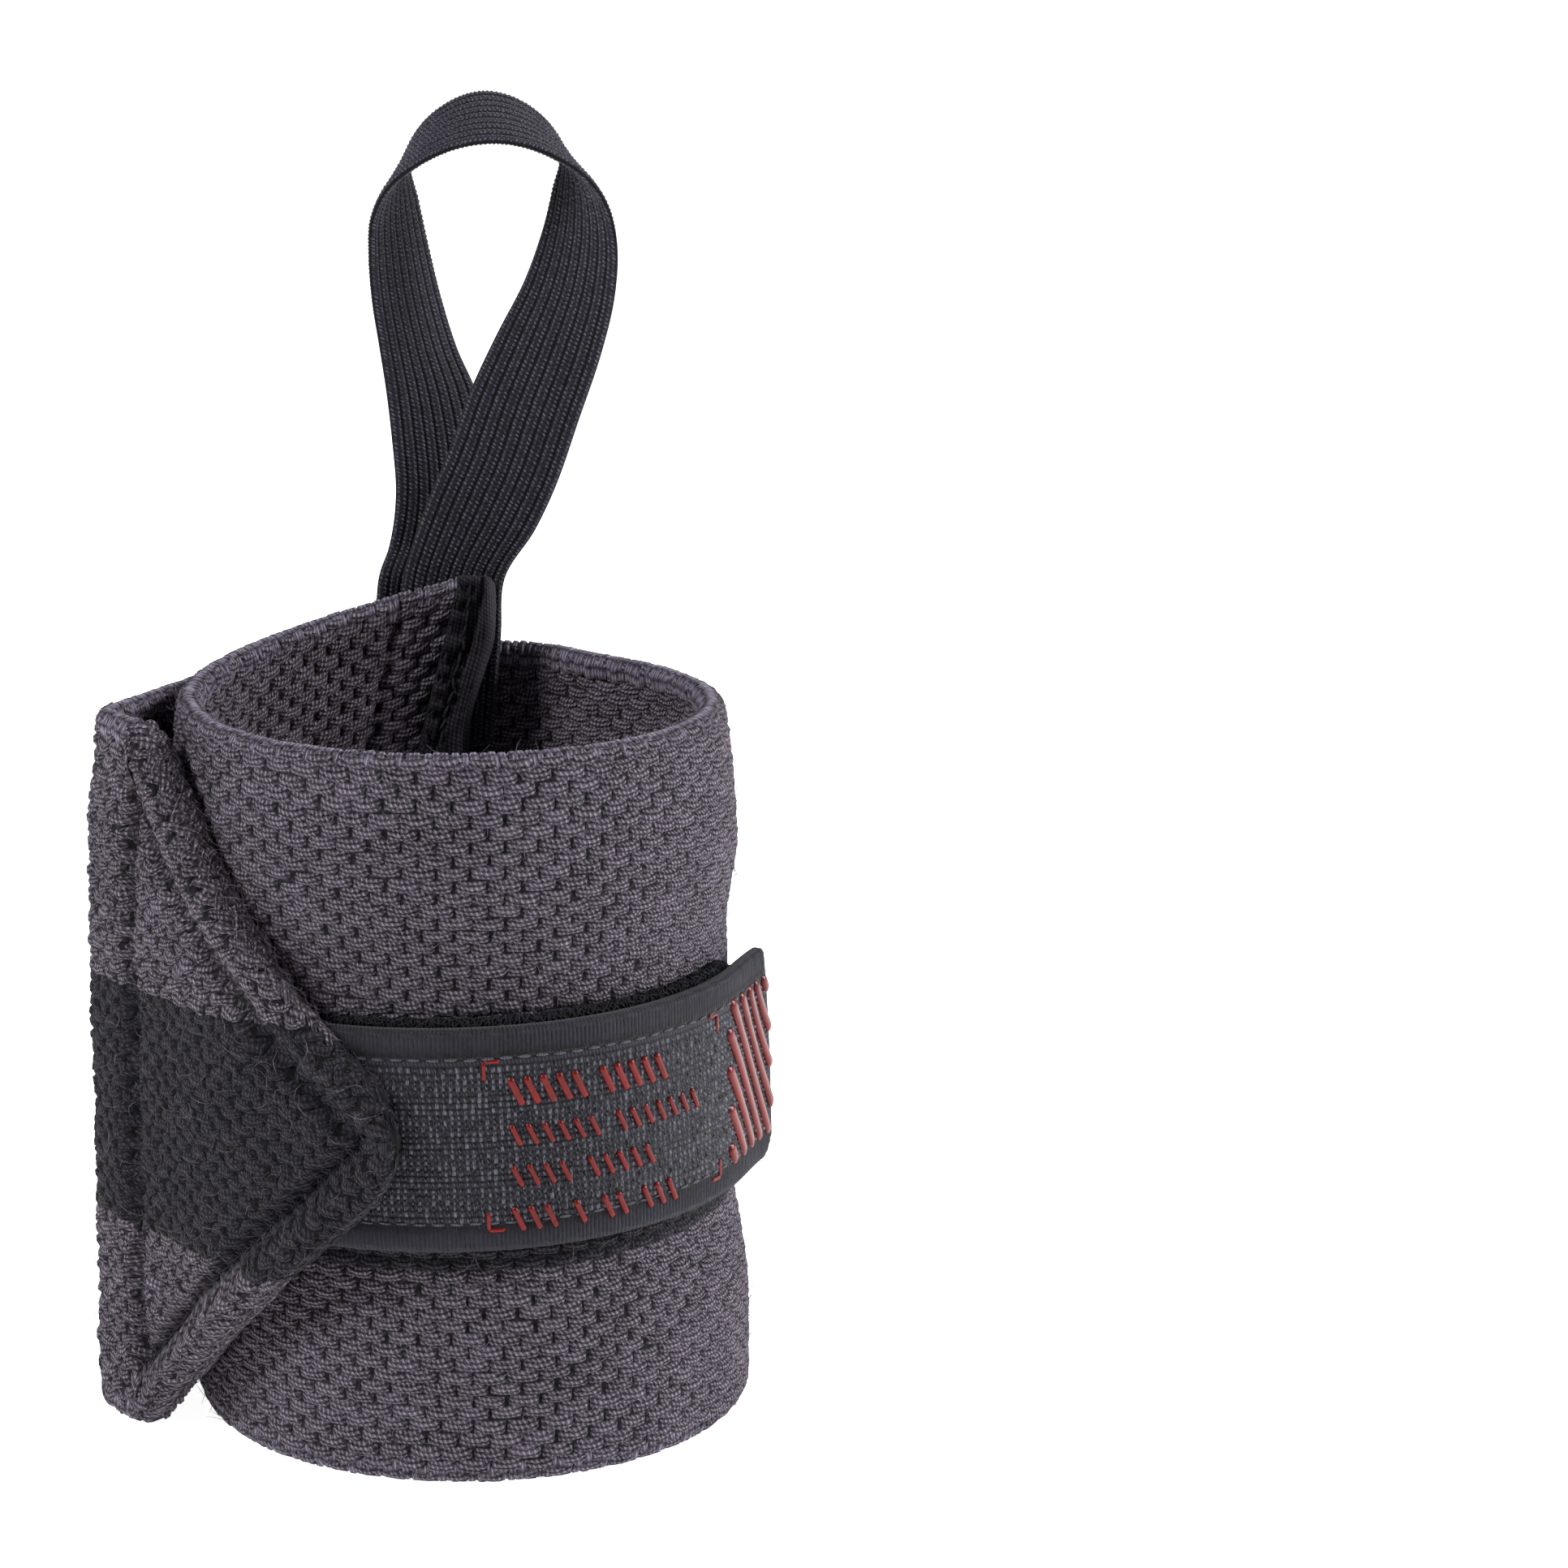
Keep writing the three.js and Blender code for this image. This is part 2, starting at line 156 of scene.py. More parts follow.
def lean(z: Array) -> Array:
    """Gives how far the tube leans along X at a height."""
    return TUBE_LEAN * (1 - z / BAND_WIDTH)


@dataclass
class Flat:
    """A pattern of quads laid out flat, as x along, y across and z off the cloth."""

    points: Array
    quads: Array
    uv: Array
    shade: Array
    tile: int = 0

    def keep(self, test: Callable[[Array, Array], Array]) -> "Flat":
        """Keeps the tiles whose middle passes a test.

        Args:
            test: Takes the middles' x and y and says which stay.

        Returns:
            The pattern without the other tiles.
        """
        count = len(self.points) // self.tile
        middle = self.points.reshape(count, self.tile, 3).mean(axis=1)
        wanted = test(middle[:, 0], middle[:, 1])
        point_mask = np.repeat(wanted, self.tile)
        quad_mask = point_mask[self.quads[:, 0]]
        new_index = np.cumsum(point_mask) - 1
        corner_mask = np.repeat(quad_mask, 4)
        return Flat(
            self.points[point_mask],
            new_index[self.quads[quad_mask]],
            self.uv[corner_mask],
            self.shade[point_mask],
            self.tile,
        )


def make_object(
    name: str, shape: Shape, material: bpy.types.Material, **values: Array
) -> Piece:
    """Makes a smooth mesh object from quads in millimetres.

    Args:
        name: The piece's name.
        shape: Its points, its quads and a map with one pair for each corner of each quad.
        material: The piece's material.
        values: Named values for each point.

    Returns:
        The linked object, with its place in its mesh.
    """
    points, quads, uv = shape
    mesh = bpy.data.meshes.new(name)
    mesh.vertices.add(len(points))
    mesh.vertices.foreach_set("co", ((points + AXIS_SHIFT) * MM).astype(np.float32).ravel())
    mesh.loops.add(len(quads) * 4)
    mesh.loops.foreach_set("vertex_index", quads.astype(np.int32).ravel())
    mesh.polygons.add(len(quads))
    mesh.polygons.foreach_set("loop_start", np.arange(0, len(quads) * 4, 4, dtype=np.int32))
    mesh.polygons.foreach_set("use_smooth", np.ones(len(quads), bool))
    mesh.update(calc_edges=True)
    layer = mesh.uv_layers.new(name="UVMap")
    layer.data.foreach_set("uv", uv.astype(np.float32).ravel())
    for key, value in values.items():
        attribute = mesh.attributes.new(key, "FLOAT", "POINT")
        attribute.data.foreach_set("value", np.asarray(value, np.float32))
    mesh.validate()
    mesh.materials.append(material)
    made = bpy.data.objects.new(name, mesh)
    bpy.context.scene.collection.objects.link(made)
    return made


def turned_over(quads: Array, uv: Array) -> tuple[Array, Array]:
    """Turns faces over, with their map."""
    return quads[:, ::-1], uv.reshape(-1, 4, 2)[:, ::-1].reshape(-1, 2)


def ring_mesh(rings: Array, u: Array, v: Array) -> Shape:
    """Joins closed rings of points into the quads of one closed body.

    Args:
        rings: Points as ring, place in the ring and coordinate.
        u: The first map value of each ring.
        v: The second map value of each place in a ring, with one more for the seam.

    Returns:
        Points, quads and the map of the corners.
    """
    count, size = rings.shape[:2]
    i, j = np.meshgrid(np.arange(count - 1), np.arange(size), indexing="ij")
    k = (j + 1) % size
    quads = np.stack([i * size + j, (i + 1) * size + j, (i + 1) * size + k, i * size + k], -1)
    corner_u = np.stack([u[i], u[i + 1], u[i + 1], u[i]], -1)
    corner_v = np.stack([v[j], v[j], v[j + 1], v[j + 1]], -1)
    uv = np.stack([corner_u, corner_v], -1).reshape(-1, 2)
    half = np.arange(size // 2 - 1)
    cap = np.stack([half, half + 1, size - 2 - half, size - 1 - half], -1)
    ends = [np.tile([[place, v[0]]], (len(cap) * 4, 1)) for place in (u[0], u[-1])]
    points = rings.reshape(-1, 3)
    quads = np.concatenate([quads.reshape(-1, 4), cap, cap[:, ::-1] + (count - 1) * size])
    uv = np.concatenate([uv, *ends])
    a, b, c, d = (points[quads[:, n]] for n in range(4))
    volume = (a * np.cross(b, c)).sum() + (a * np.cross(c, d)).sum()
    return points, *(turned_over(quads, uv) if volume < 0 else (quads, uv))


@dataclass
class Wiring:
    """Adds and links nodes in one tree."""

    tree: bpy.types.NodeTree
    start: bpy.types.Node | None = None
    end: bpy.types.Node | None = None

    @classmethod
    def group(
        cls, name: str, kind: str, inputs: dict[str, str | float], outputs: tuple[str, ...]
    ) -> "Wiring":
        """Opens a new node group with named sockets.

        Args:
            name: The group's name.
            kind: The kind of its tree.
            inputs: Each input's kind, or the number that a plain value starts at.
            outputs: The outputs, which are geometry in a geometry tree and values in others.

        Returns:
            The group's wiring.
        """
        n = cls(bpy.data.node_groups.new(name, f"{kind}NodeTree"))
        for key, value in inputs.items():
            number = isinstance(value, float)
            sort = "NodeSocketFloat" if number else f"NodeSocket{value}"
            socket = n.tree.interface.new_socket(key, in_out="INPUT", socket_type=sort)
            if number:
                socket.default_value = value
        sort = "NodeSocketGeometry" if kind == "Geometry" else "NodeSocketFloat"
        for key in outputs:
            n.tree.interface.new_socket(key, in_out="OUTPUT", socket_type=sort)
        n.start, n.end = n.add("NodeGroupInput"), n.add("NodeGroupOutput")
        return n

    def add(self, kind: str, inputs: Inputs | None = None, **settings: object) -> bpy.types.Node:
        """Adds a node.

        Args:
            kind: The node's kind.
            inputs: What its inputs get.
            settings: Its other settings.

        Returns:
            The node.
        """
        node = self.tree.nodes.new(kind)
        for name, value in settings.items():
            setattr(node, name, value)
        self.feed(node, inputs or {})
        return node

    def feed(self, node: bpy.types.Node, inputs: Inputs) -> None:
        """Links or sets a node's inputs.

        Args:
            node: The node.
            inputs: A socket, a number or a colour for each input's name or place.
        """
        for key, value in inputs.items():
            if isinstance(value, Socket):
                self.tree.links.new(value, node.inputs[key])
            else:
                colour = isinstance(value, tuple)
                node.inputs[key].default_value = (*value, 1.0) if colour else value

    def math(self, operation: str, first: Value, second: Value = 0.0) -> Socket:
        """Adds a math node."""
        return self.add("ShaderNodeMath", {0: first, 1: second}, operation=operation).outputs[0]

    def plus(self, first: Value, second: Value) -> Socket:
        """Adds a sum."""
        return self.math("ADD", first, second)

    def minus(self, first: Value, second: Value) -> Socket:
        """Adds a difference."""
        return self.math("SUBTRACT", first, second)

    def times(self, first: Value, second: Value) -> Socket:
        """Adds a product."""
        return self.math("MULTIPLY", first, second)

    def vector(self, *parts: Value) -> Socket:
        """Adds a vector."""
        return self.add("ShaderNodeCombineXYZ", dict(enumerate(parts))).outputs[0]

    def blend(self, share: Socket, first: Socket | Colour, second: Socket | Colour) -> Socket:
        """Adds a mix of two colours."""
        inputs = {0: share, 6: first, 7: second}
        return self.add("ShaderNodeMix", inputs, data_type="RGBA").outputs[2]

    def ramp(self, value: Socket, low: float, high: float) -> Socket:
        """Stretches a value from low..high to 0..1."""
        inputs = {"Value": value, "From Min": low, "From Max": high}
        return self.add("ShaderNodeMapRange", inputs).outputs[0]


class GroupMaker:
    """Builds the shader node groups that the finishes share."""

    def __init__(self) -> None:
        """Builds both groups once."""
        self.yarn = self._yarn_relief()
        self.fleck = self._cloth_fleck()

    def _yarn_relief(self) -> bpy.types.NodeTree:
        """Makes ribs of twisted yarn that run along a map's first direction.

        Returns:
            The group, with a height and a shading value: painted highlights on the twist's peaks
            and painted shade between the strands.
        """
        inputs = {"Map": "Vector", "Strands": 4.0, "Twist": 9.0, "Sag": 0.2, "Shift": 0.0}
        n = Wiring.group("Yarn relief", "Shader", inputs, ("Height", "Painted highlight and shade"))
        given = n.start.outputs
        split = n.add("ShaderNodeSeparateXYZ", {0: given["Map"]})
        off = n.minus(split.outputs[0], 0.5)
        curve = n.times(n.times(off, off), given["Sag"])
        across = n.minus(split.outputs[1], n.times(curve, 4.0))
        rows = n.times(across, given["Strands"])
        ridge = n.math("ABSOLUTE", n.math("SINE", n.times(rows, math.pi)))
        ridge = n.math("POWER", ridge, 0.8)
        along = n.times(split.outputs[0], given["Twist"])
        along = n.plus(along, n.times(n.math("FLOOR", rows), 0.37))
        along = n.plus(along, given["Shift"])
        slant = n.plus(along, n.times(n.math("FRACT", rows), 0.55))
        twist = n.math("SINE", n.times(slant, 2 * math.pi))
        twist = n.plus(n.times(twist, 0.5), 0.5)
        height = n.times(ridge, n.plus(n.times(twist, 0.3), 0.7))
        # Painted highlights sit on the twist's peaks and painted shade falls between the strands.
        painted_highlight = n.times(n.math("POWER", twist, 3.2), 0.75)
        tone_with_painted_light = n.times(n.math("POWER", ridge, 1.4), n.plus(painted_highlight, 0.25))
        n.feed(n.end, {"Height": height, "Painted highlight and shade": tone_with_painted_light})
        return n.tree

    def _cloth_fleck(self) -> bpy.types.NodeTree:
        """Makes the small patches by which worn cloth is lighter and darker.

        Returns:
            The group, with one value that changes over the surface.
        """
        inputs = {"Place": "Vector", "Coarse": 90.0, "Fine": 2600.0, "Share": 0.5}
        n = Wiring.group("Cloth fleck", "Shader", inputs, ("Value",))
        given, parts = n.start.outputs, {0: n.start.outputs["Share"]}
        for name, detail, place in (("Coarse", 2.0, 2), ("Fine", 3.0, 3)):
            inputs = {"Vector": given["Place"], "Scale": given[name], "Detail": detail}
            parts[place] = n.add("ShaderNodeTexNoise", inputs).outputs[0]
        n.feed(n.end, {"Value": n.add("ShaderNodeMix", parts).outputs[0]})
        return n.tree


@dataclass(frozen=True)
class Finish:
    """What the finishes of cloth and of print share."""

    name: str

    def start(self, groups: GroupMaker) -> tuple[Wiring, bpy.types.Node, bpy.types.Node]:
        """Starts a material with its flecks.

        Args:
            groups: The shared node groups.

        Returns:
            The wiring, the shader and the flecks' node.
        """
        material = bpy.data.materials.new(self.name)
        material.use_nodes = True
        n = Wiring(material.node_tree)
        place = n.add("ShaderNodeTexCoord").outputs["Object"]
        fleck = n.add("ShaderNodeGroup", node_tree=groups.fleck)
        n.feed(fleck, {"Place": place})
        return n, n.tree.nodes["Principled BSDF"], fleck

    @staticmethod
    def bumped(n: Wiring, height: Socket, strength: float, depth: float) -> Socket:
        """Adds a bump."""
        inputs = {"Height": height, "Strength": strength, "Distance": depth}
        return n.add("ShaderNodeBump", inputs).outputs[0]


@dataclass(frozen=True)
class Cloth(Finish):
    """A finish of yarn: two tones, its strands, and how it takes the light."""

    deep: Colour
    light: Colour
    dark_deep: Colour | None = None
    dark_light: Colour | None = None
    strands: float = 1.0
    twist: float = 1.0
    sag: float = 0.0
    bump: float = 0.5
    depth: float = 0.0001
    roughness: float = 0.9
    sheen: float = 0.02
    fleck: float = 0.85
    yarn: float = 1.0
    spread: float = 0.1
    wander: float = 0.0
    # How much painted shade darkens the rim of every tile.
    edge: float = 0.0

    def build(self, groups: GroupMaker) -> bpy.types.Material:
        """Makes the material.

        Args:
            groups: The shared node groups.

        Returns:
            The material.
        """
        n, shader, fleck = self.start(groups)
        n.feed(fleck, {"Share": self.fleck})
        flecks = fleck.outputs["Value"]
        mapped = n.add("ShaderNodeUVMap", uv_map="UVMap").outputs[0]
        shift = n.vector(0.0, n.times(n.minus(flecks, 0.5), self.wander), 0.0)
        placed = n.add("ShaderNodeVectorMath", {0: mapped, 1: shift}).outputs[0]
        shade = self.named(n, "shade")
        inputs = {"Map": placed, "Strands": self.strands, "Twist": self.twist, "Sag": self.sag}
        yarn = n.add("ShaderNodeGroup", node_tree=groups.yarn)
        n.feed(yarn, {**inputs, "Shift": n.times(shade, 7.0)})
        patches = n.times(n.minus(n.ramp(flecks, 0.3, 0.72), 0.35), 0.3)
        # The yarn's output paints highlights and shade; the patches and the per-tile value are
        # random.
        tone_with_painted_light = n.plus(n.times(yarn.outputs["Painted highlight and shade"], self.yarn), patches)
        tone_with_painted_light = n.plus(tone_with_painted_light, n.times(n.minus(shade, 0.5), self.spread))
        # Painted shade darkens the rim of every tile.
        if self.edge:
            tone_with_painted_light = n.times(tone_with_painted_light, n.minus(1.0, self.rim(n, mapped)))
        colour = n.blend(tone_with_painted_light, self.deep, self.light)
        # The stripe value picks the dark stripe's colours; on the knit floats it also holds
        # painted shade along the point's sunk seams.
        if self.dark_deep:
            dark = n.blend(tone_with_painted_light, self.dark_deep, self.dark_light)
            colour = n.blend(self.named(n, "stripe"), colour, dark)
        height = n.plus(yarn.outputs["Height"], n.times(flecks, 0.5))
        n.feed(shader, {
            "Base Color": colour,
            "Normal": self.bumped(n, height, self.bump, self.depth),
            "Roughness": self.roughness,
            "Sheen Weight": self.sheen,
            "Sheen Roughness": 0.45,
            "Specular IOR Level": 0.12,
        })
        return bpy.data.materials[self.name]

    @staticmethod
    def named(n: Wiring, name: str) -> Socket:
        """Adds a piece's named value."""
        return n.add("ShaderNodeAttribute", attribute_name=name).outputs["Fac"]

    def rim(self, n: Wiring, mapped: Socket) -> Socket:
        """Adds painted shade round the rim of every tile, where the floats meet.

        Args:
            n: The material's wiring.
            mapped: The map's socket.

        Returns:
            How dark the painted rim shade is.
        """
        ends, rim_shades = n.add("ShaderNodeSeparateXYZ", {0: mapped}).outputs, []
        for socket, power in ((ends[0], 6.0), (ends[1], 3.0)):
            far = n.minus(n.times(n.math("FRACT", socket), 2.0), 1.0)
            rim_shades.append(n.math("POWER", n.math("ABSOLUTE", far), power))
        return n.times(n.math("MAXIMUM", *rim_shades), self.edge)


@dataclass(frozen=True)
class Gloss(Finish):
    """A finish of smooth raised print."""

    base: Colour
    worn: Colour
    roughness: float
    bump: float = 0.15
    fine: float = 1500.0

    def build(self, groups: GroupMaker) -> bpy.types.Material:
        """Makes the material.

        Args:
            groups: The shared node groups.

        Returns:
            The material.
        """
        n, shader, fleck = self.start(groups)
        n.feed(fleck, {"Fine": self.fine})
        flecks = fleck.outputs["Value"]
        n.feed(shader, {
            "Base Color": n.blend(n.ramp(flecks, 0.35, 0.7), self.base, self.worn),
            "Normal": self.bumped(n, flecks, self.bump, 0.0001),
            "Roughness": self.roughness,
            "Specular IOR Level": 0.22,
        })
        return bpy.data.materials[self.name]


@dataclass
class Tiling:
    """How often and how far apart a tile is repeated."""

    columns: int
    rows: int
    column_pitch: float
    row_pitch: float
    shift: float = 0.0
    jitter: float = 0.0
    turn: float = 0.0
    grow: float = 0.0
    seed: int = 1
    start: tuple[float, float] = (0.0, 0.0)


def read(items: object, key: str, width: int = 1, kind: type = np.float32) -> Array:
    """Reads one value of every item of a mesh.

    Args:
        items: The mesh's points, corners or values.
        key: The value's name.
        width: How many numbers it has.
        kind: Their kind.

    Returns:
        All numbers in a row.
    """
    found = np.zeros(len(items) * width, kind)
    items.foreach_get(key, found)
    return found


class Tiler:
    """Repeats a flat tile over rows and columns with Geometry Nodes."""

    INPUTS = {
        "columns": "Int", "rows": "Int", "column_pitch": "Float", "row_pitch": "Float",
        "shift": "Float", "jitter": "Float", "turn": "Float", "grow": "Float", "seed": "Int",
    }

    def __init__(self) -> None:
        """Builds the node tree once."""
        inputs = {"tile": "Geometry", **self.INPUTS, "material": "Material"}
        self.n = Wiring.group("Repeat tile", "Geometry", inputs, ("Geometry",))
        items = self.n.tree.interface.items_tree
        self.sockets = {item.name: item.identifier for item in items if item.in_out == "INPUT"}
        self._wire()

    def _wire(self) -> None:
        """Links points, instances, a stored shade, realizing and the material."""
        n, given = self.n, self.n.start.outputs
        index, columns = n.add("GeometryNodeInputIndex").outputs[0], given["columns"]
        row = n.math("FLOOR", n.math("DIVIDE", n.plus(index, 0.5), columns))
        x = n.times(n.math("MODULO", index, columns), given["column_pitch"])
        x = n.plus(x, n.times(n.math("MODULO", row, 2.0), given["shift"]))
        x = n.plus(x, n.times(self._random(0), given["jitter"]))
        y = n.plus(n.times(row, given["row_pitch"]), n.times(self._random(1), given["jitter"]))
        turn = n.vector(0.0, 0.0, n.times(self._random(2), given["turn"]))
        size = n.plus(n.times(self._random(3), given["grow"]), 1.0)
        shade = n.plus(n.times(self._random(4), 0.5), 0.5)
        inputs = {"Count": n.times(columns, given["rows"]), "Position": n.vector(x, y, 0.0)}
        points = n.add("GeometryNodePoints", inputs).outputs[0]
        copies = n.add("GeometryNodeInstanceOnPoints", {
            "Points": points,
            "Instance": given["tile"],
            "Rotation": n.add("FunctionNodeEulerToRotation", {0: turn}).outputs[0],
            "Scale": n.vector(size, size, size),
        }).outputs[0]
        store = n.add("GeometryNodeStoreNamedAttribute", data_type="FLOAT", domain="INSTANCE")
        n.feed(store, {"Geometry": copies, "Name": "shade", "Value": shade})
        real = n.add("GeometryNodeRealizeInstances", {0: store.outputs[0]}).outputs[0]
        inputs = {"Geometry": real, "Material": given["material"]}
        n.feed(n.end, {"Geometry": n.add("GeometryNodeSetMaterial", inputs).outputs[0]})

    def _random(self, channel: int) -> Socket:
        """Adds a random value from -1 to 1 that depends on the seed.

        Args:
            channel: Keeps the values of different uses apart.

        Returns:
            The value's socket.
        """
        seed = self.n.plus(self.n.start.outputs["seed"], 17.0 * channel)
        inputs = {2: -1.0, 3: 1.0, 8: seed}
        return self.n.add("FunctionNodeRandomValue", inputs, data_type="FLOAT").outputs[1]

    def lay(self, tile: Shape, tiling: Tiling, material: bpy.types.Material) -> Flat:
        """Repeats a tile and reads the result back.

        Args:
            tile: The tile's points, quads and map.
            tiling: How the tile is repeated.
            material: The tile's material.

        Returns:
            The flat pattern.
        """
        points, quads, uv = tile
        maker = make_object("tile", (points - AXIS_SHIFT, quads, uv), material)
        maker.data.transform(Matrix.Scale(1 / MM, 4))
        modifier = maker.modifiers.new("Repeat tile", "NODES")
        modifier.node_group = self.n.tree
        modifier[self.sockets["material"]] = material
        for name in self.INPUTS:
            modifier[self.sockets[name]] = getattr(tiling, name)
        graph = bpy.context.evaluated_depsgraph_get()
        mesh = bpy.data.meshes.new_from_object(maker.evaluated_get(graph), depsgraph=graph)
        placed = read(mesh.vertices, "co", 3).reshape(-1, 3).astype(float) + [*tiling.start, 0.0]
        corners = read(mesh.loops, "vertex_index", kind=np.int32).reshape(-1, 4)
        mapped = read(mesh.uv_layers["UVMap"].data, "uv", 2).reshape(-1, 2)
        shade = read(mesh.attributes["shade"].data, "value")
        maker.modifiers.remove(modifier)
        bpy.data.objects.remove(maker)
        bpy.data.meshes.remove(mesh)
        return Flat(placed, corners, mapped, shade, len(points))


def cushion_tile(
    length: float, height: float, rise: float, nx: int, ny: int, lap: float = 0.0
) -> Shape:
    """Makes a crowned pad, open underneath, for one float of yarn or one rib.

    Args:
        length: The tile's size along x.
        height: The tile's size along y.
        rise: How far its middle stands up.
        nx: Faces along x.
        ny: Faces along y.
        lap: How much higher the far end stands than the near one.

    Returns:
        Points, quads and the map.
    """
    ends = 0.5 - 0.5 * np.cos(np.pi * np.linspace(0, 1, nx + 1))
    u, v = np.meshgrid(ends, np.linspace(0, 1, ny + 1), indexing="ij")
    crown = (1 - np.abs(2 * u - 1) ** 8) * (1 - np.abs(2 * v - 1) ** 3.4)
    crown = crown * (1 + lap * (u - 0.5))
    points = np.stack([(u - 0.5) * length, (v - 0.5) * height, rise * crown], -1).reshape(-1, 3)
    i, j = np.meshgrid(np.arange(nx), np.arange(ny), indexing="ij")
    size = ny + 1
    first = i * size + j
    quads = np.stack([first, first + size, first + size + 1, first + 1], -1).reshape(-1, 4)
    flat_uv = np.stack([u, v], -1).reshape(-1, 2)
    return points, quads, flat_uv[quads.ravel()]


def capsule_tile(length: float, width: float, height: float, sides: int, parts: int) -> Shape:
    """Makes a closed rounded bar along x, half of it above the cloth.

    Args:
        length: The bar's length.
        width: The bar's width along y.
        height: The bar's height.
        sides: Faces round the bar.
        parts: Faces along the bar.

    Returns:
        Points, quads and the map.
    """
    share = np.linspace(0, 1, parts + 1)
    reach = np.sin(np.pi * np.clip(share, 0.02, 0.98)) ** 0.35
    turn = np.linspace(0, 2 * np.pi, sides, endpoint=False)
    ring = np.stack([np.zeros(sides), np.cos(turn) * width / 2, np.sin(turn) * height / 2], -1)
    rings = ring[None] * reach[:, None, None]
    rings[:, :, 0] = (share[:, None] - 0.5) * length
    return ring_mesh(rings, share, np.linspace(0, 1, sides + 1))


def srgb(red: int, green: int, blue: int) -> Colour:
    """Turns screen levels into the linear colour that a shader takes.

    Args:
        red: The red level from 0 to 255.
        green: The green level.
        blue: The blue level.

    Returns:
        The linear colour.
    """
    levels = np.array([red, green, blue]) / 255
    linear = np.where(levels > 0.04045, ((levels + 0.055) / 1.055) ** 2.4, levels / 12.92)
    return tuple(float(value) for value in linear)


def tape_reach(depth: Array) -> Array:
    """Gives the width of the binding inside, which grows downwards from its top."""
    return 3.4 + 0.29 * np.clip(depth, 0, 30)


def end_slant(z: Array) -> Array:
    """Gives how far the band's inner end is cut back at a height."""
    return END_SLANT * ease(84, 69, z)


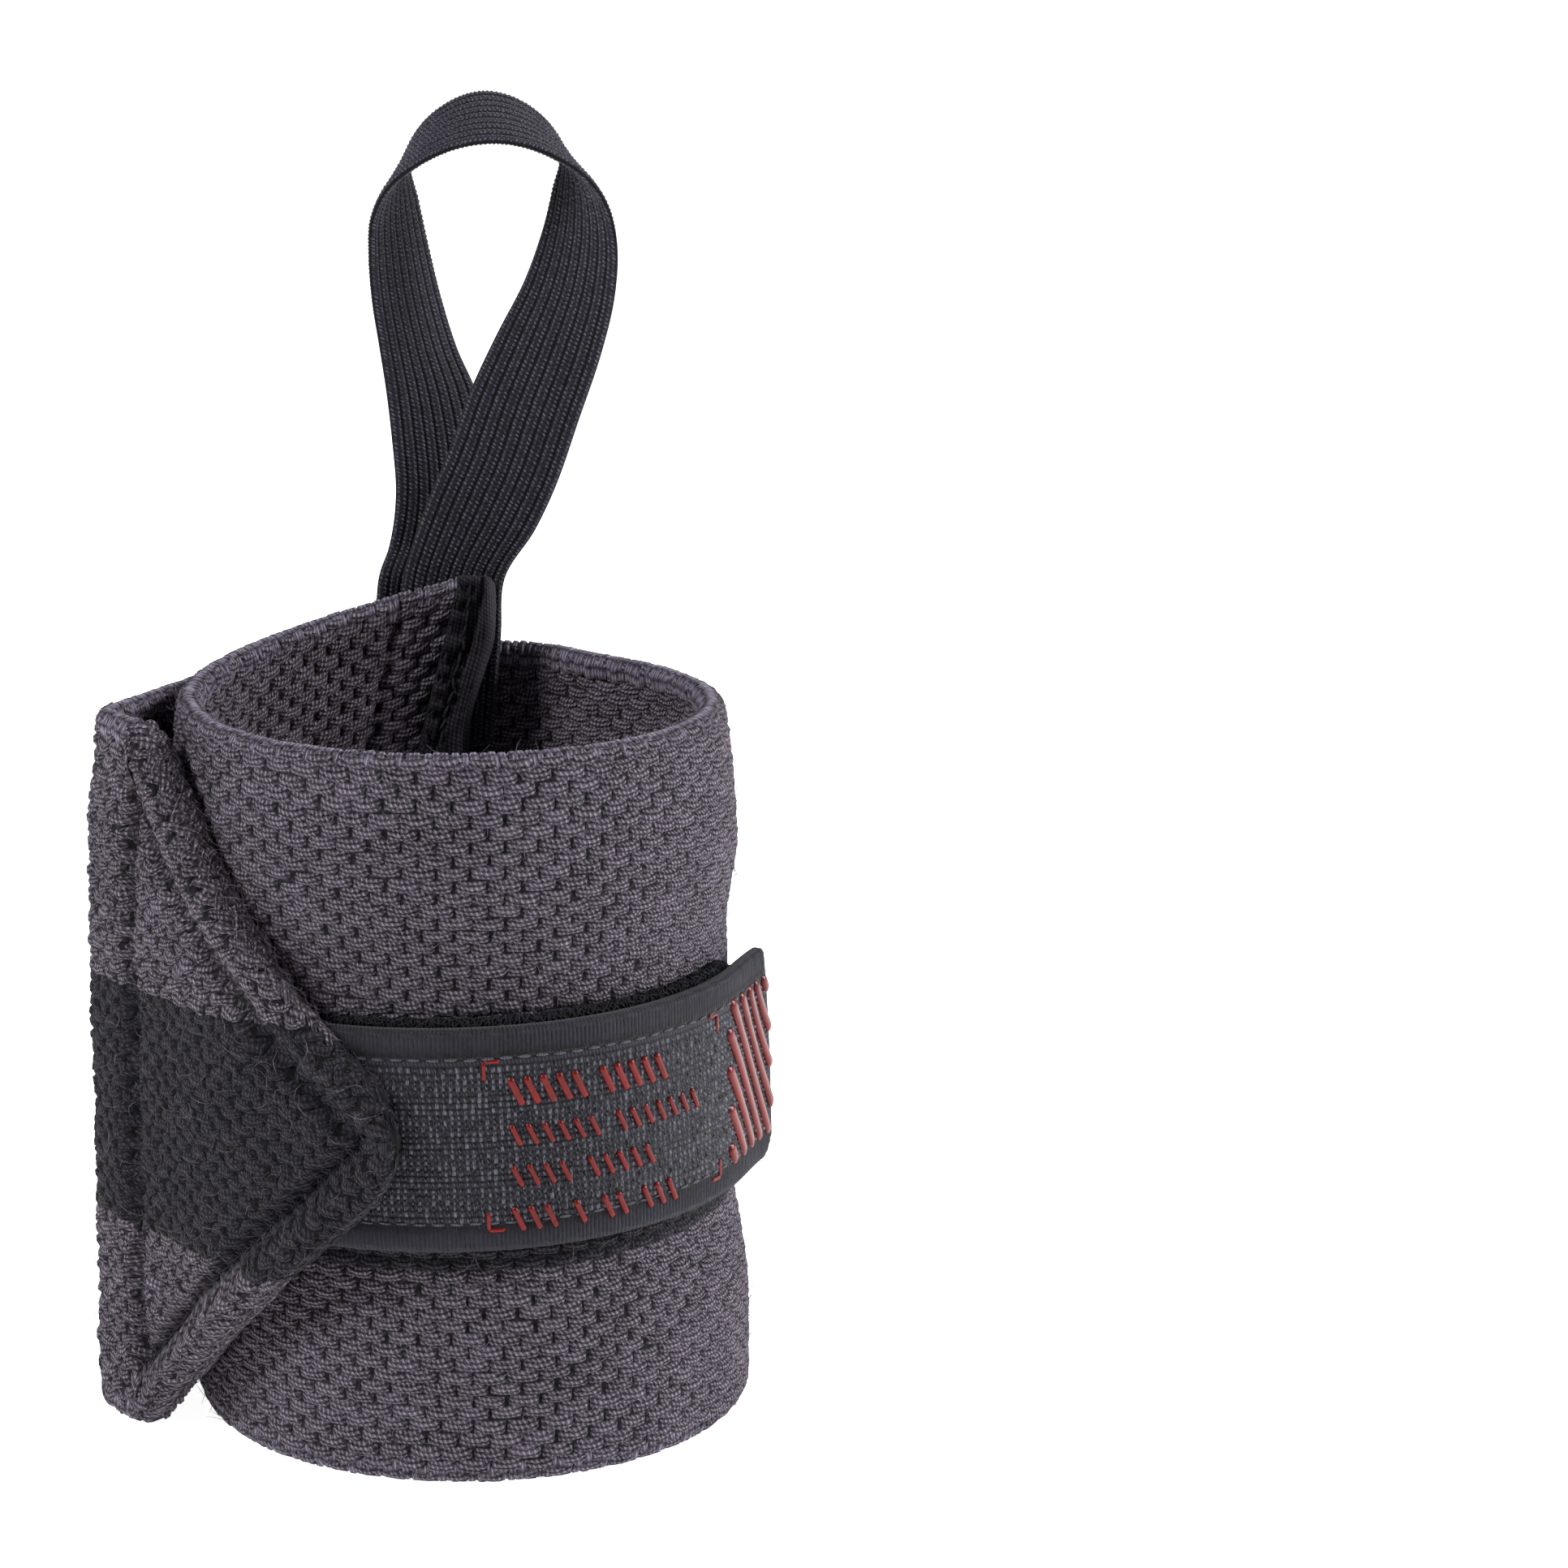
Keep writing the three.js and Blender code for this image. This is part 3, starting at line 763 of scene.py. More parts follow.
class Strip:
    """A long flat piece that follows a course in plan, with a height and two faces."""

    def follow(self, x: Array, y: Array, **along: Array) -> None:
        """Keeps the course at even steps.

        Args:
            x: The course's plan points along X.
            y: The course's plan points along Y.
            along: More values at the same points.
        """
        far = distances(np.stack([x, y], -1))
        self.length = float(far[-1])
        self.step = np.linspace(0, self.length, int(self.length / 0.25))
        self.x, self.y = np.interp(self.step, far, x), np.interp(self.step, far, y)
        self.along = {key: np.interp(self.step, far, value) for key, value in along.items()}
        dx, dy = np.gradient(self.x), np.gradient(self.y)
        size = np.hypot(dx, dy)
        soft = np.hanning(9) / np.hanning(9).sum()
        self.nx = np.convolve(np.pad(dy / size, 4, mode="edge"), soft, "valid")
        self.ny = np.convolve(np.pad(-dx / size, 4, mode="edge"), soft, "valid")

    def value(self, key: str, s: Array) -> Array:
        """Looks up a value along the course."""
        return np.interp(s, self.step, self.along[key])

    def span(self, s: Array) -> tuple[Array, Array]:
        """Gives the lower and upper edge across the strip at a place along it."""
        raise NotImplementedError

    def height(self, s: Array, v: Array) -> Array:
        """Gives the height of a place along and across the strip."""
        raise NotImplementedError

    def faces(self, s: Array, z: Array) -> tuple[Array, Array]:
        """Gives how far the inner and the outer face are from the course."""
        half = self.thickness / 2 + 0 * z
        return half, half

    def middle(self, s: Array, z: Array) -> tuple[Array, Array]:
        """Gives half the thickness and how far its middle is from the course."""
        inward, outward = self.faces(s, z)
        return (inward + outward) / 2, (outward - inward) / 2

    def shift(self, s: Array, z: Array) -> Array:
        """Gives how far the strip is shifted along X, which is the tube's lean."""
        return lean(z)

    def put(self, s: Array, off: Array, z: Array) -> Array:
        """Turns a place along, a distance off the course and a height into points.

        Args:
            s: The place along the course.
            off: The distance outwards.
            z: The height.

        Returns:
            The points.
        """
        x = np.interp(s, self.step, self.x) + np.interp(s, self.step, self.nx) * off
        y = np.interp(s, self.step, self.y) + np.interp(s, self.step, self.ny) * off
        return np.stack([x + self.shift(s, z), y, np.maximum(z, 0.04)], -1)

    def place(self, s: Array, v: Array, side: Array, h: Array) -> Array:
        """Puts places along and across onto a face.

        Args:
            s: The place along the course.
            v: The place across the strip.
            side: 1 for the outer face, -1 for the inner one.
            h: The distance off the face.

        Returns:
            The points.
        """
        low, high = self.span(s)
        half, middle = self.middle(s, self.height(s, np.clip(v, low, high)))
        edge = np.maximum(np.minimum(half, (high - low) * 0.45), 1e-3)
        first = v - low < high - v
        deep = np.where(first, v - low, high - v)
        quarter = edge * np.pi / 2
        turn = np.clip(deep / edge, -np.pi / 2, np.pi / 2)
        inset = edge - (edge + h) * np.cos(turn) + np.maximum(deep - quarter, 0)
        inset = inset + (quarter - edge) * ease(0, 7, deep - quarter)
        inset = mix(np.maximum(deep, 0), inset, ease(1, 12, high - low))
        z = self.height(s, np.where(first, low + inset, high - inset))
        level = half - edge + (edge + h) * np.sin(turn)
        return self.put(s, middle + side * level, z)

    def rim(self, s: Array, t: Array, edge: Edge, h: Array) -> Array:
        """Puts places along and round an edge onto it.

        Args:
            s: The place along the course.
            t: The distance round the edge, 0 on it and more than 0 outside.
            edge: Which edge.
            h: The distance off the surface.

        Returns:
            The points.
        """
        low, high = self.span(s)
        z = self.height(s, high if edge is Edge.TOP else low)
        half, middle = self.middle(s, z)
        turn = np.clip(t / half, -np.pi / 2, np.pi / 2)
        depth = half * (1 - np.cos(turn)) + np.maximum(np.abs(t) - half * np.pi / 2, 0)
        z = z + edge.value * (h * np.cos(turn) - depth)
        return self.put(s, middle + np.sin(turn) * (half + h), z)

    def body(self, places: Array, across: int) -> tuple[Array, Array, Array, Array]:
        """Makes the strip's closed solid.

        Args:
            places: Places along the course for the rings.
            across: Points across each face between the edges.

        Returns:
            Points, quads, the map and each point's place across.
        """
        turn = np.radians([8, 26, 46, 68, 90])
        share = np.linspace(0, 1, across + 2)[1:-1]
        rings, places_v = [], []
        for s in places:
            low, high = self.span(s)
            half, _ = self.middle(s, self.height(s, (low + high) / 2))
            edge = min(half, (high - low) * 0.3)
            inset = edge * turn
            quarter = edge * np.pi / 2
            middle = low + quarter + (high - low - 2 * quarter) * share
            v = np.concatenate([low + inset, middle, (high - inset)[::-1]])
            outer, inner = (self.place(np.full(len(v), s), v, side, 0.0) for side in (1.0, -1.0))
            rings.append(np.concatenate([outer, inner[::-1]]))
            places_v.append(np.concatenate([v, v[::-1]]))
        usual = places_v[len(places_v) // 2]
        shape = ring_mesh(np.array(rings), places, np.append(usual, usual[0]))
        return *shape, np.concatenate(places_v)


@dataclass
class BandCourse(Strip):
    """The wound band, from its inner end over the overlap and the bend to its point."""

    width: float = BAND_WIDTH
    thickness: float = 2 * BAND_HALF
    radius: float = TUBE_RADIUS
    inner_radius: float = TAPE_RADIUS
    first_angle: float = 86.0
    taper: float = 115.0
    leave_angle: float = 514.0
    over_radius: float = 32.3
    leave_radius: float = 31.2
    corner: tuple[float, float] = (-38.8, -8.6)
    bend: float = 3.6
    point_radius: float = 34.6
    point_angle: float = 263.1
    point_length: float = 38.0
    point_height: float = 39.5
    point_rounding: float = 10.0
    rise: float = 8.4
    flap: float = 2.0
    tucks: tuple[float, float, float, float] = (13, 16, 35, 38)
    hem: float = 5.4
    hem_start: float = 37.5
    upright: float = 35.6
    pulled: tuple[float, float, float, float] = (225, 243, 352, 385)
    pull_reach: tuple[float, float] = (14.3, 26.3)
    profile: tuple[tuple[float, float], ...] = (
        (0, 0.9), (12, 1.1), (25, 0), (55, 0), (64, 0.9), (73, 0.5), (80, -0.3), (90, -0.3),
    )

    def __post_init__(self) -> None:
        """Lays out the plan."""
        angle = np.arange(self.first_angle, self.leave_angle + 0.5, 1.0)
        r = mix(self.inner_radius, self.radius, ease(self.taper, self.taper + 80, angle))
        r = r + (self.over_radius - self.radius) * ease(415, 440, angle)
        r = r + (self.leave_radius - self.over_radius) * ease(480, self.leave_angle, angle)
        wound = polar(r, np.radians(angle))
        corner = np.array(self.corner)
        landing = math.atan2(corner[1], corner[0]) + math.acos(
            self.point_radius / math.hypot(*corner)
        )
        landed = self.point_radius * np.array([math.cos(landing), math.sin(landing)])
        into = (corner - wound[-1]) / np.linalg.norm(corner - wound[-1])
        away = (landed - corner) / np.linalg.norm(landed - corner)
        swing = math.acos(float(into @ away))
        reach = self.bend * math.tan(swing / 2)
        start, end = corner - into * reach, corner + away * reach
        share = np.linspace(0, 1, 14)[1:-1, None]
        leaving = wound[-1] + (start - wound[-1]) * share
        centre = start + np.array([-into[1], into[0]]) * self.bend
        first = math.atan2(start[1] - centre[1], start[0] - centre[0])
        bend = centre + polar(self.bend, first + np.linspace(0, swing, 24))
        crossing = end + (landed - end) * np.linspace(0, 1, 14)[1:-1, None]
        last_angle = math.radians(self.point_angle)
        left = np.linspace((last_angle - landing - 2 * math.pi) * self.point_radius, 0, 50)
        tip = polar(self.point_radius, last_angle - left / self.point_radius)
        plan = np.concatenate([wound, leaving, bend, crossing, tip])
        last = np.full(len(plan) - len(wound), self.leave_angle)
        free = [0 * angle, share[:, 0], np.ones(24 + len(crossing)), ease(0, 26, left)]
        self.follow(
            plan[:, 0], plan[:, 1], angle=np.concatenate([angle, last]), free=np.concatenate(free)
        )

    def left(self, s: Array) -> Array:
        """Gives the length left up to the point."""
        return self.length - s

    def span(self, s: Array) -> tuple[Array, Array]:
        """Gives the band's edges, which run to a rounded point.

        Args:
            s: The place along the band.

        Returns:
            The lower and the upper edge.
        """
        far = np.maximum(self.left(s), 0) + 0.01
        arc = np.sqrt(np.maximum(2 * self.point_rounding * far - far * far, 0))
        straight = far + self.point_rounding * (math.sqrt(2) - 1)
        half = np.where(far < self.point_rounding * (1 - DIAGONAL), arc, straight)
        high = np.minimum(self.width, self.point_height + half)
        return np.maximum(0, self.point_height - half), high

    def height(self, s: Array, v: Array) -> Array:
        """Gives the height, raised towards the inner end."""
        share = np.clip((self.value("angle", s) - 92) / 165, 0, 1)
        return v + self.rise * (1 - share) ** 2.6

    def tape_edge(self, v: Array) -> Array:
        """Gives how far the binding's slanted edge is from the inner end."""
        return tape_reach(self.width - v)

    def seam(self, s: Array, v: Array) -> Array:
        """Gives the sunk seam inside, beside the binding."""
        return 0.9 * np.exp(-(((s - self.tape_edge(v) - 6.6) / 0.7) ** 2))

    def fold(self, s: Array, v: Array) -> Array:
        """Gives how far the point's nearer folded edge is."""
        low, high = self.span(s)
        return np.minimum(v - low, high - v) * DIAGONAL

    def hemmed(self, left: Array) -> Array:
        """Gives where the point's hem begins, by the length left up to the point."""
        return ease(self.hem_start, self.hem_start - 2, left)

    def groove(self, s: Array, v: Array, spread: float) -> Array:
        """Gives how near the point's sewn lines are, from 0 to 1.

        Args:
            s: The place along the band.
            v: The place across it.
            spread: How wide the lines are.

        Returns:
            The nearness.
        """
        left, fold = self.left(s), self.fold(s, v)
        diagonal = np.exp(-(((fold - self.hem) / spread) ** 2)) * self.hemmed(left)
        upright = np.exp(-(((left - self.upright) / spread) ** 2)) * ease(3, 6, fold)
        return np.maximum(diagonal, upright)

    def relief(self, s: Array, v: Array) -> Array:
        """Gives the puffed folds and sunk seams of the point.

        Args:
            s: The place along the band.
            v: The place across it.

        Returns:
            How far the outer face is raised.
        """
        left = self.left(s)
        hem = np.clip(self.fold(s, v) / self.hem, 0, 1)
        puff = np.sin(np.pi * hem) * self.hemmed(left) * 0.7
        beside = np.exp(-(((left - 38.6) / 2.2) ** 2)) * 0.35
        soft = 0.25 * wobble(s, v, 31, 13) * ease(52, 40, left)
        return puff + beside + soft - 1.8 * self.groove(s, v, 1.05)

    def faces(self, s: Array, z: Array) -> tuple[Array, Array]:
        """Gives both faces, with the tube's bulge, the tab's pull and the tucked corners.

        Args:
            s: The place along the band.
            z: The height.

        Returns:
            How far the inner and the outer face are from the course.
        """
        angle, free, left = self.value("angle", s), self.value("free", s), self.left(s)
        heights, amounts = np.array(self.profile).T
        loose = ease(self.taper, self.taper + 40, angle) * (1 - free)
        off = np.abs(z - TAB_HEIGHT - 0.6)
        pull = TAB_PULL * window(angle, *self.pulled) * (1 - ease(*self.pull_reach, off))
        out = np.interp(z, heights, amounts) * loose - pull
        tucked = self.flap * window(left, *self.tucks)
        half = self.thickness / 2
        v = z - self.height(s, 0.0)
        return half + tucked - out - self.seam(s, v), half + out + self.relief(s, v)

    def place(self, s: Array, v: Array, side: Array, h: Array) -> Array:
        """Puts places onto a face, with the inner end cut at a slant."""
        slant = end_slant(v + self.rise) * ease(9, 0, s)
        return super().place(s + slant, v, side, h)

    def shift(self, s: Array, z: Array) -> Array:
        """Gives the tube's lean, which the free layer doesn't share."""
        return mix(lean(z), 1.3 * ease(64, 80, z), self.value("free", s))


@dataclass
class TabCourse(Strip):
    """One layer of the closure tab, held on the tube and free at its end."""

    face: float
    thickness: float
    width: float
    drop: float
    past: float
    chamfer: float
    corner: float
    start: float = 247.0
    peel: float = 340.0
    past_angle: float = 315.0
    steps: int = 8
    curl: float = 0.8
    kick: float = 0.04
    climb: float = 1.2
    trim: float = 1.5

    def __post_init__(self) -> None:
        """Lays out the plan."""
        r = self.face + self.thickness / 2
        turn = np.radians(np.linspace(self.start, self.peel, 60))
        x, y = list(r * np.cos(turn)), list(r * np.sin(turn))
        free = (self.past - r * math.radians(self.peel - self.past_angle)) / self.steps
        heading = math.radians(self.peel) + math.pi / 2
        for i in range(1, self.steps + 1):
            share = i / self.steps
            heading += (free / r) * (1 - share) * self.curl - self.kick * share
            x.append(x[-1] + free * math.cos(heading))
            y.append(y[-1] + free * math.sin(heading))
        around = np.degrees(np.arctan2(y, x)) + 360
        self.follow(np.array(x), np.array(y), around=around)

    def span(self, s: Array) -> tuple[Array, Array]:
        """Gives the edges, drawn in towards the end.

        Args:
            s: The place along the tab.

        Returns:
            The lower and the upper edge.
        """
        left = self.length - s
        cut = self.chamfer * ease(13, 3, left)
        tip = self.corner * ease(2.6, 0, left) ** 2
        return cut + tip, self.width - cut - 0.25 * tip

    def height(self, s: Array, v: Array) -> Array:
        """Gives the height, a little higher towards the end."""
        rise = self.climb * np.clip((self.value("around", s) - self.start) / 100, 0, 1)
        return TAB_HEIGHT - self.drop + rise - self.width / 2 + v

    def place(self, s: Array, v: Array, side: Array, h: Array) -> Array:
        """Puts places onto a face, with the end cut back towards its upper corner.

        Args:
            s: The place along the tab.
            v: The place across it.
            side: 1 for the outer face, -1 for the inner one.
            h: The distance off the face.

        Returns:
            The points.
        """
        upper = np.clip(v / self.width, 0, 1) ** 3
        trim = self.trim * upper * ease(self.length - 9, self.length, s)
        return super().place(s - trim, v, side, h)


Look = Cloth | Gloss


@dataclass
class Workshop:
    """What every piece is made with."""

    groups: GroupMaker
    tiler: Tiler
    materials: dict[str, bpy.types.Material] = field(default_factory=dict)

    def finish(self, look: Look) -> bpy.types.Material:
        """Gives a finish's material and makes it only once.

        Args:
            look: The finish.

        Returns:
            The material.
        """
        if look.name not in self.materials:
            self.materials[look.name] = look.build(self.groups)
        return self.materials[look.name]

    def lay(self, tile: Shape, tiling: Tiling, look: Look) -> Flat:
        """Repeats a tile in a finish."""
        return self.tiler.lay(tile, tiling, self.finish(look))

    def body(
        self, name: str, shape: Shape, look: Look, node: str, slot: str, **values: Array
    ) -> Piece:
        """Makes a closed body that stands for a solid.

        Args:
            name: The piece's name.
            shape: Its points, quads and map.
            look: The finish.
            node: The solid's name.
            slot: Not used.
            values: Named values for each point.

        Returns:
            The piece.
        """
        shade = np.full(len(shape[0]), 0.5)
        made = make_object(name, shape, self.finish(look), shade=shade, **values)
        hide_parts(node)
        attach(made, "root")
        return made

    def pattern(
        self, name: str, flat: Flat, wrap: Wrap, look: Look, slot: str, flip: bool = False,
        **values: Array,
    ) -> Piece:
        """Wraps a flat pattern and makes it a piece.

        Args:
            name: The piece's name.
            flat: The flat pattern.
            wrap: Takes flat points to their places.
            look: The finish.
            slot: Not used.
            flip: Whether the wrap turns the faces over.
            values: Named values for each point.

        Returns:
            The piece.
        """
        quads, uv = turned_over(flat.quads, flat.uv) if flip else (flat.quads, flat.uv)
        shape = wrap(flat.points), quads, uv
        made = make_object(name, shape, self.finish(look), shade=flat.shade, **values)
        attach(made, "root")
        return made


@dataclass
class Maker:
    """Something that makes pieces in a workshop."""

    shop: Workshop


# Its edge setting paints shade round the rim of every float.
KNIT = Cloth(
    "knit_yarn", srgb(6, 5, 7), srgb(132, 121, 137), srgb(3, 3, 4), srgb(55, 51, 63), strands=3.3,
    twist=6.6, sag=0.22, bump=1.0, depth=0.0004, sheen=0.05, wander=0.36, edge=0.8,
)
# The ground's dark colours are painted shade for the gaps between the floats.
SHADED_KNIT_GROUND = Cloth(
    "knit_ground_painted_shade", srgb(6, 5, 7), srgb(34, 31, 37), srgb(2, 2, 3), srgb(18, 17, 21), twist=3.0,
    bump=0.8, depth=0.0003,
)
SELVEDGE = Cloth(
    "selvedge_yarn", srgb(26, 23, 30), srgb(126, 117, 135), strands=5.0, twist=2.6, bump=0.8,
    depth=0.0002, sheen=0.08,
)
ELASTIC = Cloth(
    "ribbed_elastic", srgb(8, 8, 12), srgb(84, 83, 99), bump=0.9, depth=0.00022, roughness=0.8,
    sheen=0.05,
)
ELASTIC_BASE = Cloth(
    "elastic_ground", srgb(6, 6, 8), srgb(34, 33, 40), twist=8.0, bump=0.8, depth=0.00015,
    roughness=0.8, sheen=0.1,
)
TAPE = Cloth(
    "binding_tape", srgb(6, 5, 7), srgb(50, 46, 54), twist=4.0, bump=0.6, depth=0.00015
)
HOOK = Cloth(
    "hook_backing", srgb(2, 2, 3), srgb(17, 16, 20), twist=4.0, bump=0.9, depth=0.0002,
    roughness=0.8,
)
WEBBING = Cloth(
    "label_webbing", srgb(6, 6, 9), srgb(49, 48, 59), twist=5.0, bump=0.7, depth=0.00015,
    roughness=0.65, sheen=0.1,
)
THREAD = Cloth(
    "stitch_thread", srgb(20, 20, 24), srgb(84, 83, 92), strands=2.0, twist=5.0, bump=0.6,
    roughness=0.6, sheen=0.1,
)
FIBRE = Cloth(
    "loose_fibre", srgb(48, 43, 52), srgb(110, 102, 116), bump=0.1, roughness=0.7, sheen=0.1
)
FLECK = Cloth(
    "weave_fleck", srgb(6, 6, 8), srgb(112, 112, 122), roughness=0.45, yarn=0.6, spread=0.45
)
# Dark thread for the binding's stitches and the hook's fringe; on the point's seams its darkness
# is painted shade in the grooves.
DARK_THREAD_AND_SEAM_SHADE = Cloth(
    "dark_thread_and_seam_shade", srgb(5, 5, 7), srgb(40, 38, 45), strands=2.0, twist=5.0, bump=0.6, roughness=0.7
)
PRINT = Gloss("raised_print", srgb(74, 4, 3), srgb(103, 8, 6), 0.32)


@dataclass
class ElasticBand(Maker):
    """The knitted band: a ground darkened as painted shade for the gaps, knit floats on both faces
    and wrapped selvedges.
    """

    course: BandCourse
    float_pitch: float = 3.4
    row_pitch: float = 1.36
    rib_pitch: float = 0.98
    stripe: tuple[float, float] = (23.7, 51.2)
    tight_from: float = 52.0
    tight: float = 0.78

    def to_cloth(self, x: Array, y: Array) -> tuple[Array, Array]:
        """Takes pattern places to places along and across the cloth.

        Args:
            x: The place along the pattern.
            y: The place across it.

        Returns:
            The places along and across the band.
        """
        bend = self.course.length - self.tight_from
        s = np.where(x < bend, x, bend + (x - bend) * self.tight)
        wave = 0.16 * wobble(s, y, 5, 16) * ease(0, 4, y) * ease(BAND_WIDTH, BAND_WIDTH - 4, y)
        return s + 0.3 * wobble(s, y, 9, 21), y + wave

    def striped(self, v: Array) -> Array:
        """Says where the dark stripe runs."""
        return ((v > self.stripe[0]) & (v < self.stripe[1])).astype(float)

    def ground(self) -> Piece:
        """Makes the closed body under the knit floats, darkened as painted shade for the gaps
        between them.

        Returns:
            The piece.
        """
        c = self.course
        places = np.concatenate([
            np.arange(0, 24, 0.5),
            np.arange(24, c.length - 44, 1.0),
            np.arange(c.length - 44, c.length - 3, 0.5),
            c.length - np.array([2.6, 2.1, 1.6, 1.2, 0.8, 0.5, 0.25, 0.1, 0.0]),
        ])
        points, quads, uv, v = c.body(places, 60)
        shape = points, quads, uv / [self.float_pitch, self.row_pitch]
        stripe = self.striped(v)
        return self.shop.body("band_ground", shape, SHADED_KNIT_GROUND, "elastic_band", "knit", stripe=stripe)

    def floats(self, face: Face) -> Piece:
        """Makes one face's knit floats.

        Args:
            face: Which face.

        Returns:
            The piece.
        """
        c, outer, pitch, rise = self.course, face is Face.OUTER, self.float_pitch, self.row_pitch
        rows = int((c.width - 1.0) / rise)
        tiling = Tiling(
            int((c.length + 18) / pitch) + 1, rows, pitch, rise, shift=pitch / 2, jitter=0.13,
            turn=0.08, grow=0.07, seed=11 if outer else 12,
            start=(0.0, (c.width - (rows - 1) * rise) / 2),
        )
        flat = self.shop.lay(cushion_tile(pitch, rise * 1.3, 0.46, 5, 3, lap=0.55), tiling, KNIT)

        def inside(x: Array, y: Array) -> Array:
            """Says which floats lie on the cloth.

            Args:
                x: The place along the pattern.
                y: The place across it.

            Returns:
                Whether each one does.
            """
            s, v = self.to_cloth(x, y)
            low, high = c.span(s)
            near = np.where(c.left(s) > c.point_length + 0.5, 0.7, -1.3)
            start = 1.5 if outer else c.tape_edge(v) - 0.6
            return (v > low + near) & (v < high - near) & (s > start) & (c.left(s) > -0.6)

        def wrap(points: Array) -> Array:
            """Puts the floats onto the cloth, more loosely near the point.

            Args:
                points: The flat points.

            Returns:
                Their places.
            """
            s, v = self.to_cloth(points[:, 0], points[:, 1])
            loose = ease(56, 46, c.left(s))
            s = s + loose * 0.42 * wobble(s, v, 15, 2.4)
            v = v + loose * 0.3 * wobble(s, v, 17, 2.6)
            lift = points[:, 2] - 0.1 + 0.1 * (loose + 0.4) * wobble(s, v, 19, 2.2)
            return c.place(np.clip(s, 0, c.length), v, float(face.value), lift)

        flat = flat.keep(inside)
        centre = flat.points.reshape(-1, flat.tile, 3).mean(axis=1)
        _, v = self.to_cloth(centre[:, 0], centre[:, 1])
        stripe = np.repeat(self.striped(v), flat.tile)
        if outer:
            # Painted shade along the point's sunk seams goes into the stripe value.
            sunk = c.groove(*self.to_cloth(flat.points[:, 0], flat.points[:, 1]), 0.6)
            stripe = stripe + 0.85 * sunk * (1.3 - stripe)
        name = "knit_outside" if outer else "knit_inside"
        return self.shop.pattern(name, flat, wrap, KNIT, "knit", not outer, stripe=stripe)

    def selvedge(self, edge: Edge) -> Piece:
        """Makes one edge's wrapped ribs.

        Args:
            edge: Which edge.

        Returns:
            The piece.
        """
        pitch, top = self.rib_pitch, edge is Edge.TOP
        tiling = Tiling(
            int((self.course.length - 39.8) / pitch), 1, pitch, 1.0, jitter=0.2, turn=0.05,
            grow=0.12, seed=21, start=(3.0, 0.0),
        )
        flat = self.shop.lay(cushion_tile(pitch * 1.12, 6.0, 0.36, 3, 8), tiling, SELVEDGE)

        def wrap(points: Array) -> Array:
            """Puts the ribs round the edge."""
            x, y, h = points.T
            return self.course.rim(x + 0.12 * y, y, edge, h)

        name = "selvedge_top" if top else "selvedge_bottom"
        return self.shop.pattern(name, flat, wrap, SELVEDGE, "knit", top)

    def seams(self) -> Piece:
        """Makes the sunk stitches of the point; their dark colour is painted shade in the grooves.

        Returns:
            The piece.
        """
        c, count, pitch, apart = self.course, 33, 2.15, 10.0
        hem = c.hem * math.sqrt(2)
        tiling = Tiling(count, 3, pitch, apart, jitter=0.12, turn=0.04, seed=111)
        flat = self.shop.lay(capsule_tile(1.9, 0.42, 0.5, 5, 4), tiling, DARK_THREAD_AND_SEAM_SHADE)

        def wrap(points: Array) -> Array:
            """Puts row 0 across the band and rows 1 and 2 along the point's folds.

            Args:
                points: The flat points.

            Returns:
                Their places.
            """
            row = np.round(points[:, 1] / apart)
            off = points[:, 1] - row * apart
            along = points[:, 0] * DIAGONAL
            left = np.where(row == 0, c.upright + off, c.upright + 0.4 - along)
            low, high = c.span(c.length - left)
            side = np.where(row == 1, high - hem, low + hem) + off
            v = np.where(row == 0, 5.5 + points[:, 0], side)
            past = ((row == 1) & (v < c.point_height)) | ((row == 2) & (v > c.point_height))
            v = np.where(past, c.point_height + off, v)
            return c.place(c.length - left, v, 1.0, points[:, 2] + 0.25)

        return self.shop.pattern("point_seams", flat, wrap, DARK_THREAD_AND_SEAM_SHADE, "knit")

    def fuzz(self) -> Piece:
        """Makes the loose fibres that stand off the cloth.

        Returns:
            The piece.
        """
        c, size, pitch, rows, row_pitch = self.course, 2.1, 2.2, 34, 2.4
        points, quads, uv = capsule_tile(size, 0.06, 0.06, 3, 4)
        share = points[:, 0] / size + 0.5
        points[:, 2] += 0.25 + share**2
        points[:, 1] += 0.6 * np.sin(share * 2.8)
        tiling = Tiling(
            int(c.length / pitch), rows, pitch, row_pitch, shift=pitch / 2, jitter=1.4,
            turn=3.1, grow=0.4, seed=121,
        )
        flat = self.shop.lay((points, quads, uv), tiling, FIBRE)

        def wrap(points: Array) -> Array:
            """Puts the fibres onto the outer face, clear of the band's ends.

            Args:
                points: The flat points.

            Returns:
                Their places.
            """
            s = np.clip(points[:, 0], 8, c.length - 0.5)
            low, high = c.span(s)
            return c.place(s, np.clip(points[:, 1], low + 1.5, high + 1), 1.0, points[:, 2])

        return self.shop.pattern("knit_fuzz", flat, wrap, FIBRE, "knit")

    def build(self) -> list[Piece]:
        """Makes the band's pieces.

        Returns:
            The pieces.
        """
        ground = self.ground()
        rest = [self.floats(face) for face in Face] + [self.selvedge(edge) for edge in Edge]
        rest += [self.seams(), self.fuzz()]
        return [ground, *rest]


